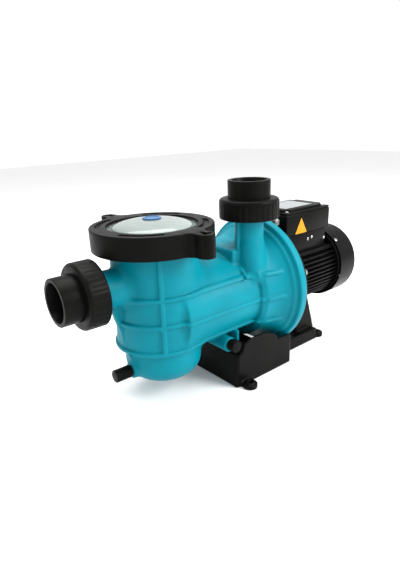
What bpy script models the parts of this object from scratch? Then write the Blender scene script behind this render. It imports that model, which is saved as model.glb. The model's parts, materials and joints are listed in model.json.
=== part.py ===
"""Self-priming pool pump with strainer pot, built as separate pieces.

Metres, +Z up, +X from the suction end towards the motor. The origin is on the
ground below the middle of the assembly, and the shaft runs along +X at SHAFT_Z.
"""
import math

import bmesh
import bpy
from mathutils import Vector

MM = 0.001
GAP = 0.3 * MM                     # running or touching clearance between pieces

# Driving stations and heights
SHAFT_Z = 155 * MM
SUCTION_Z = 221 * MM
LID_TOP_Z = 315 * MM
DISCHARGE_TOP_Z = 373 * MM
SUCTION_RIM_X = -344 * MM
POT_X = -158 * MM
DISCHARGE_X = 23 * MM
DISCHARGE_Y = -50 * MM
FLANGE_X = 78 * MM                 # front of the body flange's rim
FLANGE_BACK_X = 96 * MM
FAN_COVER_END_X = 344 * MM

# Pump body
POT_RADIUS = 77 * MM
POT_WALL = 5 * MM
POT_FLOOR_Z = 35 * MM
CUP_X = -153 * MM                  # axis of the rounded cup below the pot
CUP_RADIUS = 70 * MM
CUP_TOP_Z = 110 * MM
COLLAR_RADIUS = 90 * MM            # threaded collar below the lock ring
COLLAR_TOP_Z = LID_TOP_Z - 13 * MM
TUNNEL_HALF_WIDTH = 89 * MM
TUNNEL_HALF_HEIGHT = 82 * MM
DRUM_FRONT_X = -22 * MM
DRUM_RADIUS = 101 * MM
FLANGE_RADIUS = 135 * MM
CHAMBER_RADIUS = 94 * MM
INTAKE_RADIUS = 76 * MM            # narrower front end of the chamber
DRUM_STEP_X = 14 * MM              # where the round drum rises from the passage
SHELF_Z = 249 * MM                 # flat shelf round the discharge neck
SHELF_HALF_WIDTH = 52 * MM
PARTITION_X = -12 * MM             # rear face of the wall between pot and impeller
EYE_HOLE_RADIUS = 33 * MM
SUCTION_NECK_RADIUS = 31 * MM
DISCHARGE_NECK_RADIUS = 27 * MM
NECK_BORE_RADIUS = 22 * MM
RIB_HEIGHTS = (202 * MM, 155 * MM, 105 * MM)

# Pipe unions, sized for 63 mm PVC pipe; distances run inwards from the socket's rim
PIPE_RADIUS = 31.6 * MM
SOCKET_RADIUS = 39 * MM
UNION_NUT_RADIUS = 55.2 * MM
NUT_START = 32 * MM
NUT_END = 69 * MM
NUT_LIP = 10.5 * MM
TAIL_FLANGE_RADIUS = 44 * MM
TAIL_LENGTH = 52 * MM
UNION_COLLAR_RADIUS = 44.5 * MM
UNION_COLLAR_LENGTH = 13 * MM
UNION_RING_RADIUS = 33 * MM

# Drains
POT_DRAIN_Z = 59 * MM
POT_DRAIN_X = -225 * MM
TUNNEL_DRAIN_X = -62 * MM
TUNNEL_DRAIN_Y = -86 * MM
TUNNEL_DRAIN_Z = 84 * MM
DRAIN_BORE = 7 * MM
DRAIN_HEAD_RADIUS = 11.5 * MM
POT_DRAIN_HEAD = 30 * MM
TUNNEL_DRAIN_HEAD = 15 * MM

# Strainer lid
RING_RADIUS = 106 * MM
RING_HEIGHT = 39 * MM
RING_WINDOW_RADIUS = 78 * MM
RING_LUG_REACH = 140.7 * MM
RING_LUG_RADIUS = 14 * MM
RING_LUG_TURN = math.radians(6)    # lugs sit this far round from square

# Motor
ADAPTOR_RADIUS = 123 * MM
FRAME_START_X = 134 * MM
FRAME_END_X = 278 * MM
FIN_RADIUS = 73 * MM
FRAME_RADIUS = 62 * MM
FIN_PITCH = 9 * MM
FIN_THICKNESS = 2.8 * MM
FRAME_BORE = 56 * MM
FAN_COVER_RADIUS = 82 * MM
FAN_COVER_START_X = 284 * MM
SHAFT_RADIUS = 9.7 * MM
BOX_START_X = 128 * MM
BOX_END_X = 270 * MM
BOX_HALF_WIDTH = 52 * MM
BOX_FLOOR_Z = 246 * MM
BOX_SEAM_Z = 290 * MM
BOX_LEDGE_Z = 294.5 * MM           # lid's edge, where its screws sit
BOX_TOP_Z = 299 * MM

# Base
BASE_FRONT_X = -63 * MM
BASE_REAR_X = 88 * MM
BASE_HALF_WIDTH = 104 * MM
BASE_CHEEK_Z = 90 * MM
BASE_WALL = 5 * MM
REAR_RAIL_HALF_WIDTH = 74 * MM
REAR_RAIL_TOP_Z = 26 * MM
REAR_RAIL_END_X = 214 * MM
SADDLE_START_X = 160 * MM
SADDLE_END_X = 230 * MM

ROUND = 32                         # facets round the large pieces
MEDIUM = 24
SMALL = 16
TINY = 8

COLOURS = {
    "body_teal": ((0.0, 0.31, 0.40), 0.42, 0.0),
    "black_plastic": ((0.012, 0.012, 0.012), 0.45, 0.0),
    "motor_black": ((0.010, 0.010, 0.011), 0.38, 0.1),
    "lid_clear": ((0.72, 0.78, 0.76), 0.12, 0.0),
    "badge_blue": ((0.04, 0.20, 0.42), 0.30, 0.0),
    "rubber": ((0.02, 0.02, 0.02), 0.80, 0.0),
    "steel": ((0.62, 0.62, 0.60), 0.30, 1.0),
    "silver_plate": ((0.66, 0.67, 0.67), 0.35, 0.6),
    "yellow": ((0.90, 0.52, 0.03), 0.45, 0.0),
    "grey_plastic": ((0.45, 0.46, 0.46), 0.45, 0.0),
    "copper": ((0.55, 0.24, 0.10), 0.40, 0.8),
    "core_steel": ((0.28, 0.28, 0.29), 0.45, 0.9),
    "ceramic": ((0.82, 0.80, 0.76), 0.30, 0.0),
    "basket_white": ((0.75, 0.76, 0.74), 0.50, 0.0),
}


def clear_scene():
    for thing in list(bpy.data.objects):
        bpy.data.objects.remove(thing, do_unlink=True)


def collection(name):
    made = bpy.data.collections.new(name)
    bpy.context.scene.collection.children.link(made)
    return made


clear_scene()
PARTS = collection("pool_pump")
CUTTERS = collection("cutters")
MATERIALS = {}


def material(slot):
    if slot not in MATERIALS:
        colour, roughness, metallic = COLOURS[slot]
        made = bpy.data.materials.new(slot)
        made.use_nodes = True
        shader = made.node_tree.nodes["Principled BSDF"]
        shader.inputs["Base Color"].default_value = (*colour, 1.0)
        shader.inputs["Roughness"].default_value = roughness
        shader.inputs["Metallic"].default_value = metallic
        MATERIALS[slot] = made
    return MATERIALS[slot]


def place(name, mesh, slot):
    """Put a mesh in the parts, or among the cutters when it has no finish."""
    thing = bpy.data.objects.new(name, mesh)
    if slot is None:
        CUTTERS.objects.link(thing)
        thing.hide_render = True
        thing.display_type = "WIRE"
    else:
        PARTS.objects.link(thing)
        mesh.materials.append(material(slot))
    return thing


def point_along(thing, direction):
    """Turn an object so that its own +Z points along a direction."""
    thing.rotation_mode = "QUATERNION"
    thing.rotation_quaternion = Vector((0, 0, 1)).rotation_difference(Vector(direction))


def lathe(name, profile, origin, direction, slot=None, steps=ROUND):
    """Turn (radius, height) points; the outer side runs down from the top."""
    mesh = bpy.data.meshes.new(name)
    count = len(profile)
    edges = [(i, (i + 1) % count) for i in range(count)
             if profile[i][0] > 0 or profile[(i + 1) % count][0] > 0]
    mesh.from_pydata([(radius, 0, height) for radius, height in profile], edges, [])
    thing = place(name, mesh, slot)
    thing.location = origin
    point_along(thing, direction)
    turn = thing.modifiers.new("turn", "SCREW")
    turn.angle = 2 * math.pi
    turn.steps = steps
    turn.render_steps = steps
    turn.use_merge_vertices = True
    turn.merge_threshold = 1e-5
    turn.use_smooth_shade = False
    return thing


def disc(name, radius, start, end, origin, direction, slot=None, steps=ROUND):
    """A solid cylinder between two distances along a direction."""
    profile = [(0, end), (radius, end), (radius, start), (0, start)]
    return lathe(name, profile, origin, direction, slot, steps)


def ring(name, outer, inner, start, end, origin, direction, slot=None, steps=ROUND):
    """A tube between two distances along a direction."""
    profile = [(outer, end), (outer, start), (inner, start), (inner, end)]
    return lathe(name, profile, origin, direction, slot, steps)


def rubber_ring(name, radius, thickness, origin, direction, steps=ROUND):
    """An O-ring of round section."""
    sides = 6
    profile = []
    for i in range(sides):
        angle = -2 * math.pi * i / sides
        profile.append((radius + thickness * math.cos(angle), thickness * math.sin(angle)))
    return lathe(name, profile, origin, direction, "rubber", steps)


def block(name, low, high, slot=None, bevel=0.0, segments=1):
    """A box between two corners, with its edges rounded if asked."""
    shape = bmesh.new()
    bmesh.ops.create_cube(shape, size=1.0)
    size = Vector(high) - Vector(low)
    middle = (Vector(high) + Vector(low)) / 2
    bmesh.ops.scale(shape, vec=size, verts=shape.verts)
    mesh = bpy.data.meshes.new(name)
    shape.to_mesh(mesh)
    shape.free()
    thing = place(name, mesh, slot)
    thing.location = middle
    if bevel:
        soft = thing.modifiers.new("soft edges", "BEVEL")
        soft.width = bevel
        soft.segments = segments
    return thing


def outline_plate(name, spans, start, end, origin, direction, slot=None):
    """Closed 2D outlines, extruded between two distances along a direction."""
    curve = bpy.data.curves.new(name, "CURVE")
    curve.dimensions = "2D"
    curve.fill_mode = "BOTH"
    curve.extrude = (end - start) / 2
    for points in spans:
        spline = curve.splines.new("POLY")
        spline.points.add(len(points) - 1)
        for point, (x, y) in zip(spline.points, points):
            point.co = (x, y, 0, 1)
        spline.use_cyclic_u = True
    guide = bpy.data.objects.new(name + " guide", curve)
    CUTTERS.objects.link(guide)
    graph = bpy.context.evaluated_depsgraph_get()
    mesh = bpy.data.meshes.new_from_object(guide.evaluated_get(graph))
    bpy.data.objects.remove(guide, do_unlink=True)
    shape = bmesh.new()
    shape.from_mesh(mesh)
    bmesh.ops.remove_doubles(shape, verts=shape.verts, dist=1e-6)
    bmesh.ops.recalc_face_normals(shape, faces=shape.faces)
    shape.to_mesh(mesh)
    shape.free()
    mesh.materials.clear()
    thing = place(name, mesh, slot)
    axis = Vector(direction)
    thing.location = Vector(origin) + axis * (start + end) / 2
    point_along(thing, direction)
    return thing


def combine(target, tools, operation):
    """One Boolean step with a group of tools."""
    group = bpy.data.collections.new(f"{target.name} {operation.lower()}")
    CUTTERS.children.link(group)
    for tool in tools:
        CUTTERS.objects.unlink(tool)
        group.objects.link(tool)
    step = target.modifiers.new(operation.lower(), "BOOLEAN")
    step.operation = operation
    step.operand_type = "COLLECTION"
    step.collection = group
    step.solver = "EXACT"


def join(target, *tools):
    combine(target, tools, "UNION")


def cut(target, *tools):
    combine(target, tools, "DIFFERENCE")


SHAFT = (0, 0, SHAFT_Z)
POT = (POT_X, 0, 0)
SUCTION = (SUCTION_RIM_X, 0, SUCTION_Z)
DISCHARGE = (DISCHARGE_X, DISCHARGE_Y, DISCHARGE_TOP_Z)
TOWARDS_MOTOR = (1, 0, 0)
TOWARDS_SUCTION = (-1, 0, 0)
UP = (0, 0, 1)
DOWN = (0, 0, -1)
FRONT_SIDE = (0, -1, 0)


# ---------------------------------------------------------------- pump body

def pot_shell():
    """The strainer pot's outside, with its three rings of ribs."""
    profile = [(0, COLLAR_TOP_Z), (COLLAR_RADIUS, COLLAR_TOP_Z),
               (COLLAR_RADIUS, LID_TOP_Z - RING_HEIGHT + 2 * MM),
               (POT_RADIUS, LID_TOP_Z - RING_HEIGHT - 4 * MM)]
    for height in RIB_HEIGHTS:
        profile += [(POT_RADIUS, height + 4 * MM), (POT_RADIUS + 3 * MM, height + 2 * MM),
                    (POT_RADIUS + 3 * MM, height - 2 * MM), (POT_RADIUS - 1 * MM, height - 4 * MM)]
    profile += [(POT_RADIUS - 6 * MM, 97 * MM), (0, 97 * MM)]
    shell = lathe("pump_body", profile, POT, UP, "body_teal")
    join(shell, cup("cup outside", 0, CUP_TOP_Z))
    return shell


def cup(name, wall, top):
    """Rounded cup below the pot; a wall thickness gives its inside."""
    profile = [(0, top), (CUP_RADIUS - wall, top), (CUP_RADIUS - wall, 80 * MM),
               (CUP_RADIUS - 6 * MM - wall, 61 * MM), (CUP_RADIUS - 18 * MM - wall, 45 * MM + 0.6 * wall),
               (CUP_RADIUS - 37 * MM - wall, 37 * MM + wall), (0, POT_FLOOR_Z + 1.2 * wall)]
    return lathe(name, profile, (CUP_X, 0, 0), UP)


def drum_and_flange():
    """Volute drum that flares into the dished body flange."""
    profile = [(0, FLANGE_BACK_X), (FLANGE_RADIUS - 3 * MM, FLANGE_BACK_X),
               (FLANGE_RADIUS, FLANGE_BACK_X - 3 * MM), (FLANGE_RADIUS, FLANGE_X + 3 * MM),
               (FLANGE_RADIUS - 4 * MM, FLANGE_X - 2 * MM), (FLANGE_RADIUS - 13 * MM, FLANGE_X - 7 * MM),
               (DRUM_RADIUS + 12 * MM, FLANGE_X - 12 * MM), (DRUM_RADIUS + 6 * MM, FLANGE_X - 26 * MM),
               (DRUM_RADIUS, DRUM_STEP_X + 8 * MM), (DRUM_RADIUS - 6 * MM, DRUM_STEP_X + 1 * MM),
               (TUNNEL_HALF_HEIGHT + 6 * MM, DRUM_STEP_X), (0, DRUM_STEP_X)]
    drum = lathe("drum", profile, SHAFT, TOWARDS_MOTOR)
    shelf = block("shelf", (DRUM_FRONT_X, -SHELF_HALF_WIDTH, SHAFT_Z),
                  (DISCHARGE_X + 20 * MM, SHELF_HALF_WIDTH, SHELF_Z), None, 3 * MM)
    join(drum, shelf)
    return drum


def tunnel(name, half_width, half_height, start, end):
    """The oval passage from the pot to the volute."""
    points = [(half_height * math.cos(2 * math.pi * i / ROUND),
               half_width * math.sin(2 * math.pi * i / ROUND)) for i in range(ROUND)]
    return outline_plate(name, [points], start, end, SHAFT, TOWARDS_MOTOR)


def suction_web():
    """Stiffening web below the suction neck, down to the pot's drain."""
    web_foot = POT_DRAIN_Z - 12 * MM
    points = [(-250 * MM, 205 * MM), (-248 * MM, 172 * MM), (-238 * MM, 137 * MM),
              (-233 * MM, 100 * MM), (-221 * MM, 76 * MM), (-214 * MM, web_foot),
              (-170 * MM, web_foot), (-170 * MM, 205 * MM)]
    return outline_plate("suction web", [points], -6 * MM, 6 * MM, (0, 0, 0), FRONT_SIDE)


def pump_body():
    body = pot_shell()
    union_back = SUCTION_RIM_X + TAIL_LENGTH + 2 * GAP
    neck_top = DISCHARGE_TOP_Z - TAIL_LENGTH - 2 * GAP
    suction_neck = disc("suction neck", SUCTION_NECK_RADIUS, union_back + 4 * MM, POT_X - 20 * MM,
                        (0, 0, SUCTION_Z), TOWARDS_MOTOR, None, MEDIUM)
    suction_collar = disc("suction collar", UNION_COLLAR_RADIUS, union_back,
                          union_back + UNION_COLLAR_LENGTH, (0, 0, SUCTION_Z), TOWARDS_MOTOR)
    outlet = (DISCHARGE_X, DISCHARGE_Y, 0)
    discharge_neck = disc("discharge neck", DISCHARGE_NECK_RADIUS, SHAFT_Z + 15 * MM, neck_top - 4 * MM,
                          outlet, UP, None, MEDIUM)
    discharge_collar = disc("discharge collar", UNION_COLLAR_RADIUS, neck_top - UNION_COLLAR_LENGTH,
                            neck_top, outlet, UP)
    fin = block("neck fin", (-9 * MM, DISCHARGE_Y - 3 * MM, SHAFT_Z + 60 * MM),
                (DISCHARGE_X, DISCHARGE_Y + 3 * MM, neck_top - UNION_COLLAR_LENGTH - 2 * MM))
    pot_boss = disc("pot drain boss", 15 * MM, -POT_X - 40 * MM, -POT_DRAIN_X,
                    (0, 0, POT_DRAIN_Z), TOWARDS_SUCTION, None, SMALL)
    tunnel_boss = disc("tunnel drain boss", 14 * MM, 15 * MM, -TUNNEL_DRAIN_Y,
                       (TUNNEL_DRAIN_X, 0, TUNNEL_DRAIN_Z), FRONT_SIDE, None, SMALL)
    join(body, suction_neck, suction_collar,
         tunnel("tunnel outside", TUNNEL_HALF_WIDTH, TUNNEL_HALF_HEIGHT,
                POT_X + 9 * MM, DRUM_STEP_X + 5 * MM),
         drum_and_flange(), discharge_neck, discharge_collar, fin, suction_web(), pot_boss, tunnel_boss)
    cut(body, *body_hollows(union_back, neck_top, outlet))
    return body


def body_hollows(union_back, neck_top, outlet):
    inner = POT_RADIUS - POT_WALL
    pot_hollow = lathe("pot hollow", [(0, COLLAR_TOP_Z + 9 * MM), (83 * MM, COLLAR_TOP_Z + 9 * MM),
                                      (83 * MM, COLLAR_TOP_Z - 12 * MM), (inner, COLLAR_TOP_Z - 12 * MM),
                                      (inner, 108 * MM), (inner - 8 * MM, 102 * MM),
                                      (0, 102 * MM)], POT, UP)
    cup_hollow = cup("cup hollow", POT_WALL, CUP_TOP_Z + 2 * MM)
    suction_bore = disc("suction bore", NECK_BORE_RADIUS + 3 * MM, union_back - 5 * MM, POT_X - 30 * MM,
                        (0, 0, SUCTION_Z), TOWARDS_MOTOR, None, MEDIUM)
    passage = tunnel("tunnel inside", TUNNEL_HALF_WIDTH - POT_WALL, TUNNEL_HALF_HEIGHT - POT_WALL,
                     POT_X + 20 * MM, PARTITION_X - 9 * MM)
    eye = disc("eye hole", EYE_HOLE_RADIUS, PARTITION_X - 20 * MM, PARTITION_X + 10 * MM, SHAFT,
               TOWARDS_MOTOR, None, MEDIUM)
    intake = disc("chamber front", INTAKE_RADIUS, PARTITION_X, DRUM_STEP_X + 10 * MM, SHAFT,
                  TOWARDS_MOTOR)
    chamber = disc("volute chamber", CHAMBER_RADIUS, DRUM_STEP_X + 7 * MM, FLANGE_BACK_X + 5 * MM,
                   SHAFT, TOWARDS_MOTOR)
    seal_groove = ring("body seal groove", CHAMBER_RADIUS + 9 * MM, CHAMBER_RADIUS + 3 * MM,
                       FLANGE_BACK_X - 5 * MM, FLANGE_BACK_X + 2 * MM, SHAFT, TOWARDS_MOTOR)
    outlet_bore = disc("discharge bore", NECK_BORE_RADIUS, SHAFT_Z + 48 * MM, neck_top + 5 * MM,
                       outlet, UP, None, MEDIUM)
    pot_drain = disc("pot drain bore", DRAIN_BORE, -POT_X - 10 * MM, -POT_DRAIN_X + 5 * MM,
                     (0, 0, POT_DRAIN_Z), TOWARDS_SUCTION, None, SMALL)
    tunnel_drain = disc("tunnel drain bore", DRAIN_BORE, 5 * MM, -TUNNEL_DRAIN_Y + 5 * MM,
                        (TUNNEL_DRAIN_X, 0, TUNNEL_DRAIN_Z + 2 * MM), FRONT_SIDE, None, SMALL)
    ring_seat = [ring(f"union seal groove {i}", UNION_RING_RADIUS + 3 * MM, UNION_RING_RADIUS - 3 * MM,
                      TAIL_LENGTH - 1 * MM, TAIL_LENGTH + 4.5 * MM, rim, inwards, None, MEDIUM)
                 for i, (rim, inwards) in enumerate(((SUCTION, TOWARDS_MOTOR), (DISCHARGE, DOWN)))]
    holes = [bolt_hole(i, FLANGE_BACK_X - 16 * MM, FLANGE_BACK_X + 5 * MM, "body") for i in range(6)]
    return [pot_hollow, cup_hollow, suction_bore, passage, eye, intake, chamber, seal_groove,
            outlet_bore, pot_drain, tunnel_drain, *ring_seat, *holes]


# ------------------------------------------------------------- flange bolts

BOLT_CIRCLE = 115 * MM
BOLT_HOLE_RADIUS = 4.2 * MM
BOLT_RADIUS = 3.8 * MM


def bolt_place(index):
    angle = math.radians(43 + 60 * index)
    return (0, BOLT_CIRCLE * math.cos(angle), SHAFT_Z + BOLT_CIRCLE * math.sin(angle))


def bolt_hole(index, start, end, owner):
    return disc(f"{owner} bolt hole {index}", BOLT_HOLE_RADIUS, start, end, bolt_place(index),
                TOWARDS_MOTOR, None, TINY)


def flange_bolts(head_x):
    """Hex bolts that clamp the motor and seal plate to the pump body."""
    for i in range(6):
        profile = [(0, head_x + 6 * MM), (7 * MM, head_x + 6 * MM), (7 * MM, head_x),
                   (BOLT_RADIUS, head_x), (BOLT_RADIUS, FLANGE_BACK_X - 14 * MM),
                   (0, FLANGE_BACK_X - 14 * MM)]
        lathe(f"flange_bolt_{i + 1}", profile, bolt_place(i), TOWARDS_MOTOR, "steel", 6)


# ---------------------------------------------------------------- wet end

IMPELLER_RADIUS = 58 * MM
IMPELLER_BACK_X = 46 * MM


def diffuser():
    """Bowl with an intake snout and windows around its skirt."""
    profile = [(70 * MM, 66 * MM), (70 * MM, 8 * MM), (36 * MM, 2 * MM),
               (EYE_HOLE_RADIUS - 0.6 * MM, -2 * MM), (EYE_HOLE_RADIUS - 0.6 * MM, -26 * MM),
               (29 * MM, -26 * MM), (29 * MM, 4 * MM), (36 * MM, 8 * MM), (66 * MM, 14 * MM),
               (66 * MM, 66 * MM)]
    bowl = lathe("diffuser", profile, SHAFT, TOWARDS_MOTOR, "black_plastic")
    windows = []
    for i in range(6):
        window = block(f"diffuser window {i}", (22 * MM, -13 * MM, 60 * MM),
                       (44 * MM, 13 * MM, 76 * MM))
        angle = math.radians(60 * i)
        window.rotation_euler = (angle, 0, 0)
        window.location = (33 * MM, -68 * MM * math.sin(angle), SHAFT_Z + 68 * MM * math.cos(angle))
        windows.append(window)
    cut(bowl, *windows)


def impeller():
    """Closed impeller: eye, front shroud, back plate and hub in one turned body."""
    profile = [(14 * MM, IMPELLER_BACK_X + 3 * MM), (IMPELLER_RADIUS, IMPELLER_BACK_X),
               (IMPELLER_RADIUS, IMPELLER_BACK_X - 4 * MM), (22 * MM, IMPELLER_BACK_X - 7 * MM),
               (14 * MM, IMPELLER_BACK_X - 20 * MM), (8.3 * MM, IMPELLER_BACK_X - 20 * MM),
               (8.3 * MM, IMPELLER_BACK_X + 3 * MM)]
    wheel = lathe("impeller", profile, SHAFT, TOWARDS_MOTOR, "grey_plastic")
    shroud = lathe("impeller shroud",
                   [(IMPELLER_RADIUS, 31 * MM), (IMPELLER_RADIUS, 28 * MM), (32 * MM, 20 * MM),
                    (28 * MM, 8 * MM), (25 * MM, 8 * MM), (28.5 * MM, 22 * MM)], SHAFT, TOWARDS_MOTOR)
    vanes = []
    for i in range(6):
        vane = block(f"impeller vane {i}", (24 * MM, -1.5 * MM, -18 * MM), (44 * MM, 1.5 * MM, 18 * MM))
        angle = math.radians(60 * i)
        vane.rotation_euler = (angle + math.radians(40), 0, 0)
        vane.location = (35 * MM, -39 * MM * math.sin(angle), SHAFT_Z + 39 * MM * math.cos(angle))
        vanes.append(vane)
    join(wheel, shroud, *vanes)


def shaft_seal():
    """Mechanical seal: a ring fixed in the seal plate and a head that turns."""
    ring("seal_seat", 18 * MM, 11 * MM, 68.5 * MM, 76 * MM, SHAFT, TOWARDS_MOTOR, "ceramic", MEDIUM)
    ring("seal_head", 17 * MM, 10.1 * MM, 50 * MM, 68.2 * MM, SHAFT, TOWARDS_MOTOR, "rubber", MEDIUM)


def seal_plate():
    profile = [(124 * MM, 104 * MM), (124 * MM, FLANGE_BACK_X + GAP),
               (CHAMBER_RADIUS - 0.5 * MM, FLANGE_BACK_X + GAP), (CHAMBER_RADIUS - 0.5 * MM, 72 * MM),
               (70 * MM, 66.4 * MM), (24 * MM, 66.4 * MM), (24 * MM, 62 * MM), (18.4 * MM, 62 * MM),
               (18.4 * MM, 76.4 * MM), (12 * MM, 76.4 * MM), (12 * MM, 84 * MM), (60 * MM, 84 * MM),
               (70 * MM, 104 * MM)]
    plate = lathe("seal_plate", profile, SHAFT, TOWARDS_MOTOR, "black_plastic")
    cut(plate, *[bolt_hole(i, 90 * MM, 110 * MM, "seal plate") for i in range(6)])
    rubber_ring("body_oring", CHAMBER_RADIUS + 6 * MM, 2.3 * MM,
                (FLANGE_BACK_X - 2.6 * MM, 0, SHAFT_Z), TOWARDS_MOTOR)


# ------------------------------------------------------------------ unions

def union(side, rim, inwards):
    """Pipe socket, union nut and O-ring; distances run inwards from the rim."""
    tail = [(SOCKET_RADIUS, 0), (SOCKET_RADIUS, TAIL_LENGTH - 8 * MM),
            (TAIL_FLANGE_RADIUS, TAIL_LENGTH - 8 * MM), (TAIL_FLANGE_RADIUS, TAIL_LENGTH),
            (NECK_BORE_RADIUS + 4 * MM, TAIL_LENGTH), (NECK_BORE_RADIUS + 4 * MM, TAIL_LENGTH - 14 * MM),
            (PIPE_RADIUS, TAIL_LENGTH - 14 * MM), (PIPE_RADIUS, 0)]
    lathe(f"{side}_tail", list(reversed(tail)), rim, inwards, "black_plastic")
    nut = [(UNION_NUT_RADIUS - 9 * MM, NUT_START), (UNION_NUT_RADIUS - 1 * MM, NUT_START + 6 * MM),
           (UNION_NUT_RADIUS, NUT_START + 10 * MM), (UNION_NUT_RADIUS, NUT_END - 2 * MM),
           (UNION_NUT_RADIUS - 2 * MM, NUT_END), (UNION_COLLAR_RADIUS + 0.5 * MM, NUT_END),
           (UNION_COLLAR_RADIUS + 0.5 * MM, NUT_START + NUT_LIP),
           (SOCKET_RADIUS + 0.5 * MM, NUT_START + NUT_LIP), (SOCKET_RADIUS + 0.5 * MM, NUT_START)]
    lathe(f"{side}_nut", list(reversed(nut)), rim, inwards, "black_plastic")
    seat = Vector(rim) + Vector(inwards) * (TAIL_LENGTH + 2.4 * MM)
    rubber_ring(f"{side}_oring", UNION_RING_RADIUS, 2 * MM, seat, inwards)


# ------------------------------------------------------------------ drains

def drain(name, mouth, outwards, head_length):
    """Screwed plug with its O-ring under the head."""
    head_end = 3 * MM + head_length
    profile = [(0, head_end), (DRAIN_HEAD_RADIUS - 1 * MM, head_end),
               (DRAIN_HEAD_RADIUS, head_end - 1 * MM), (DRAIN_HEAD_RADIUS, 3 * MM),
               (DRAIN_BORE - 0.5 * MM, 3 * MM), (DRAIN_BORE - 0.5 * MM, -9 * MM), (0, -9 * MM)]
    lathe(f"{name}_plug", profile, mouth, outwards, "black_plastic", SMALL)
    ring_place = Vector(mouth) + Vector(outwards) * 1.65 * MM
    rubber_ring(f"{name}_oring", DRAIN_BORE + 2 * MM, 1.3 * MM, ring_place, outwards, SMALL)


# ----------------------------------------------------------- lid and basket

def strainer_lid():
    """Clear domed lid that the lock ring clamps on the pot's collar."""
    seat_z = COLLAR_TOP_Z + GAP
    profile = [(0, LID_TOP_Z + 8 * MM), (30 * MM, LID_TOP_Z + 7 * MM), (60 * MM, LID_TOP_Z + 1.5 * MM),
               (72 * MM, LID_TOP_Z - 3 * MM), (76 * MM, LID_TOP_Z - 5 * MM),
               (89 * MM, LID_TOP_Z - 5 * MM), (89 * MM, seat_z), (81.5 * MM, seat_z),
               (81.5 * MM, seat_z - 9 * MM), (77 * MM, seat_z - 9 * MM), (77 * MM, LID_TOP_Z - 9 * MM),
               (60 * MM, LID_TOP_Z - 3 * MM), (30 * MM, LID_TOP_Z + 2.5 * MM), (0, LID_TOP_Z + 3.5 * MM)]
    lid = lathe("lid", profile, POT, UP, "lid_clear")
    groove = ring("lid seal groove", 83 * MM, 79.4 * MM, seat_z - 6.5 * MM, seat_z - 1.5 * MM, POT, UP)
    cut(lid, groove)
    rubber_ring("lid_oring", 81.1 * MM, 1.4 * MM, (POT_X, 0, seat_z - 4 * MM), UP)
    disc("lid_badge", 16 * MM, LID_TOP_Z + 8.3 * MM, LID_TOP_Z + 10 * MM, POT, UP, "badge_blue", MEDIUM)


def lock_ring():
    """Threaded ring with two wrench lugs and four arc slots in its rim."""
    low = LID_TOP_Z - RING_HEIGHT
    body = ring("lock_ring", RING_RADIUS, COLLAR_RADIUS + 1 * MM, low, LID_TOP_Z, POT, UP, "black_plastic")
    rim = ring("lock rim", RING_RADIUS - 1 * MM, RING_WINDOW_RADIUS, LID_TOP_Z - 4 * MM,
               LID_TOP_Z, POT, UP)
    lug_reach = RING_LUG_REACH - RING_LUG_RADIUS
    bridge_reach = lug_reach - 13.5 * MM
    lugs = []
    for quarter in (1, 3):
        angle = quarter * math.pi / 2 + RING_LUG_TURN
        lug = disc(f"lock lug {quarter}", RING_LUG_RADIUS, low, LID_TOP_Z,
                   (POT_X + lug_reach * math.cos(angle), lug_reach * math.sin(angle), 0), UP, None, SMALL)
        bridge = block(f"lock bridge {quarter}", (-12.5 * MM, -13.5 * MM, low + 0.5 * MM),
                       (12.5 * MM, 13.5 * MM, LID_TOP_Z - 0.5 * MM))
        bridge.rotation_euler = (0, 0, angle)
        bridge.location.x = POT_X + bridge_reach * math.cos(angle)
        bridge.location.y = bridge_reach * math.sin(angle)
        lugs += [lug, bridge]
    join(body, rim, *lugs)
    slots = [arc_slot(f"lock slot {i}", 86.5 * MM, 96.5 * MM, 45 + 90 * i, 46,
                      LID_TOP_Z - 3 * MM, LID_TOP_Z + 3 * MM) for i in range(4)]
    hollow = disc("lock hollow", COLLAR_RADIUS + 1 * MM, low - 5 * MM, LID_TOP_Z - 4 * MM - GAP, POT, UP)
    cut(body, hollow, *slots)


def arc_slot(name, inner, outer, middle, span, low, high):
    """A curved slot about the pot's axis, angles in degrees."""
    count = 8
    angles = [math.radians(middle - span / 2 + span * i / count) for i in range(count + 1)]
    points = [(outer * math.cos(a), outer * math.sin(a)) for a in angles]
    points += [(inner * math.cos(a), inner * math.sin(a)) for a in reversed(angles)]
    return outline_plate(name, [points], low, high, POT, UP)


def basket():
    """Strainer basket: a tapered bucket with a side inlet, slots and a bar to lift it by."""
    rim_z = COLLAR_TOP_Z - 9 * MM
    profile = [(76 * MM, rim_z), (76 * MM, rim_z - 2.5 * MM), (66 * MM, rim_z - 2.5 * MM),
               (58 * MM, 80 * MM), (0, 80 * MM), (0, 83 * MM), (55.5 * MM, 83 * MM), (63.5 * MM, rim_z)]
    bucket = lathe("basket", profile, POT, UP, "basket_white", MEDIUM)
    inlet = disc("basket inlet", 27 * MM, 40 * MM, 90 * MM, (POT_X, 0, SUCTION_Z), TOWARDS_SUCTION,
                 None, MEDIUM)
    slot_low = 95 * MM
    slots = []
    for i in range(12):
        angle = math.radians(30 * i + 15)
        slot = block(f"basket slot {i}", (40 * MM, -4 * MM, 0), (80 * MM, 4 * MM, 80 * MM))
        slot.location = (POT_X + 60 * MM * math.cos(angle), 60 * MM * math.sin(angle), slot_low + 40 * MM)
        slot.rotation_euler = (0, 0, angle)
        slots.append(slot)
    bar = block("basket bar", (POT_X - 5 * MM, -68 * MM, rim_z - 6 * MM), (POT_X + 5 * MM, 68 * MM, rim_z))
    join(bucket, bar)
    cut(bucket, inlet, *slots)


# ------------------------------------------------------------------- motor

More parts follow.
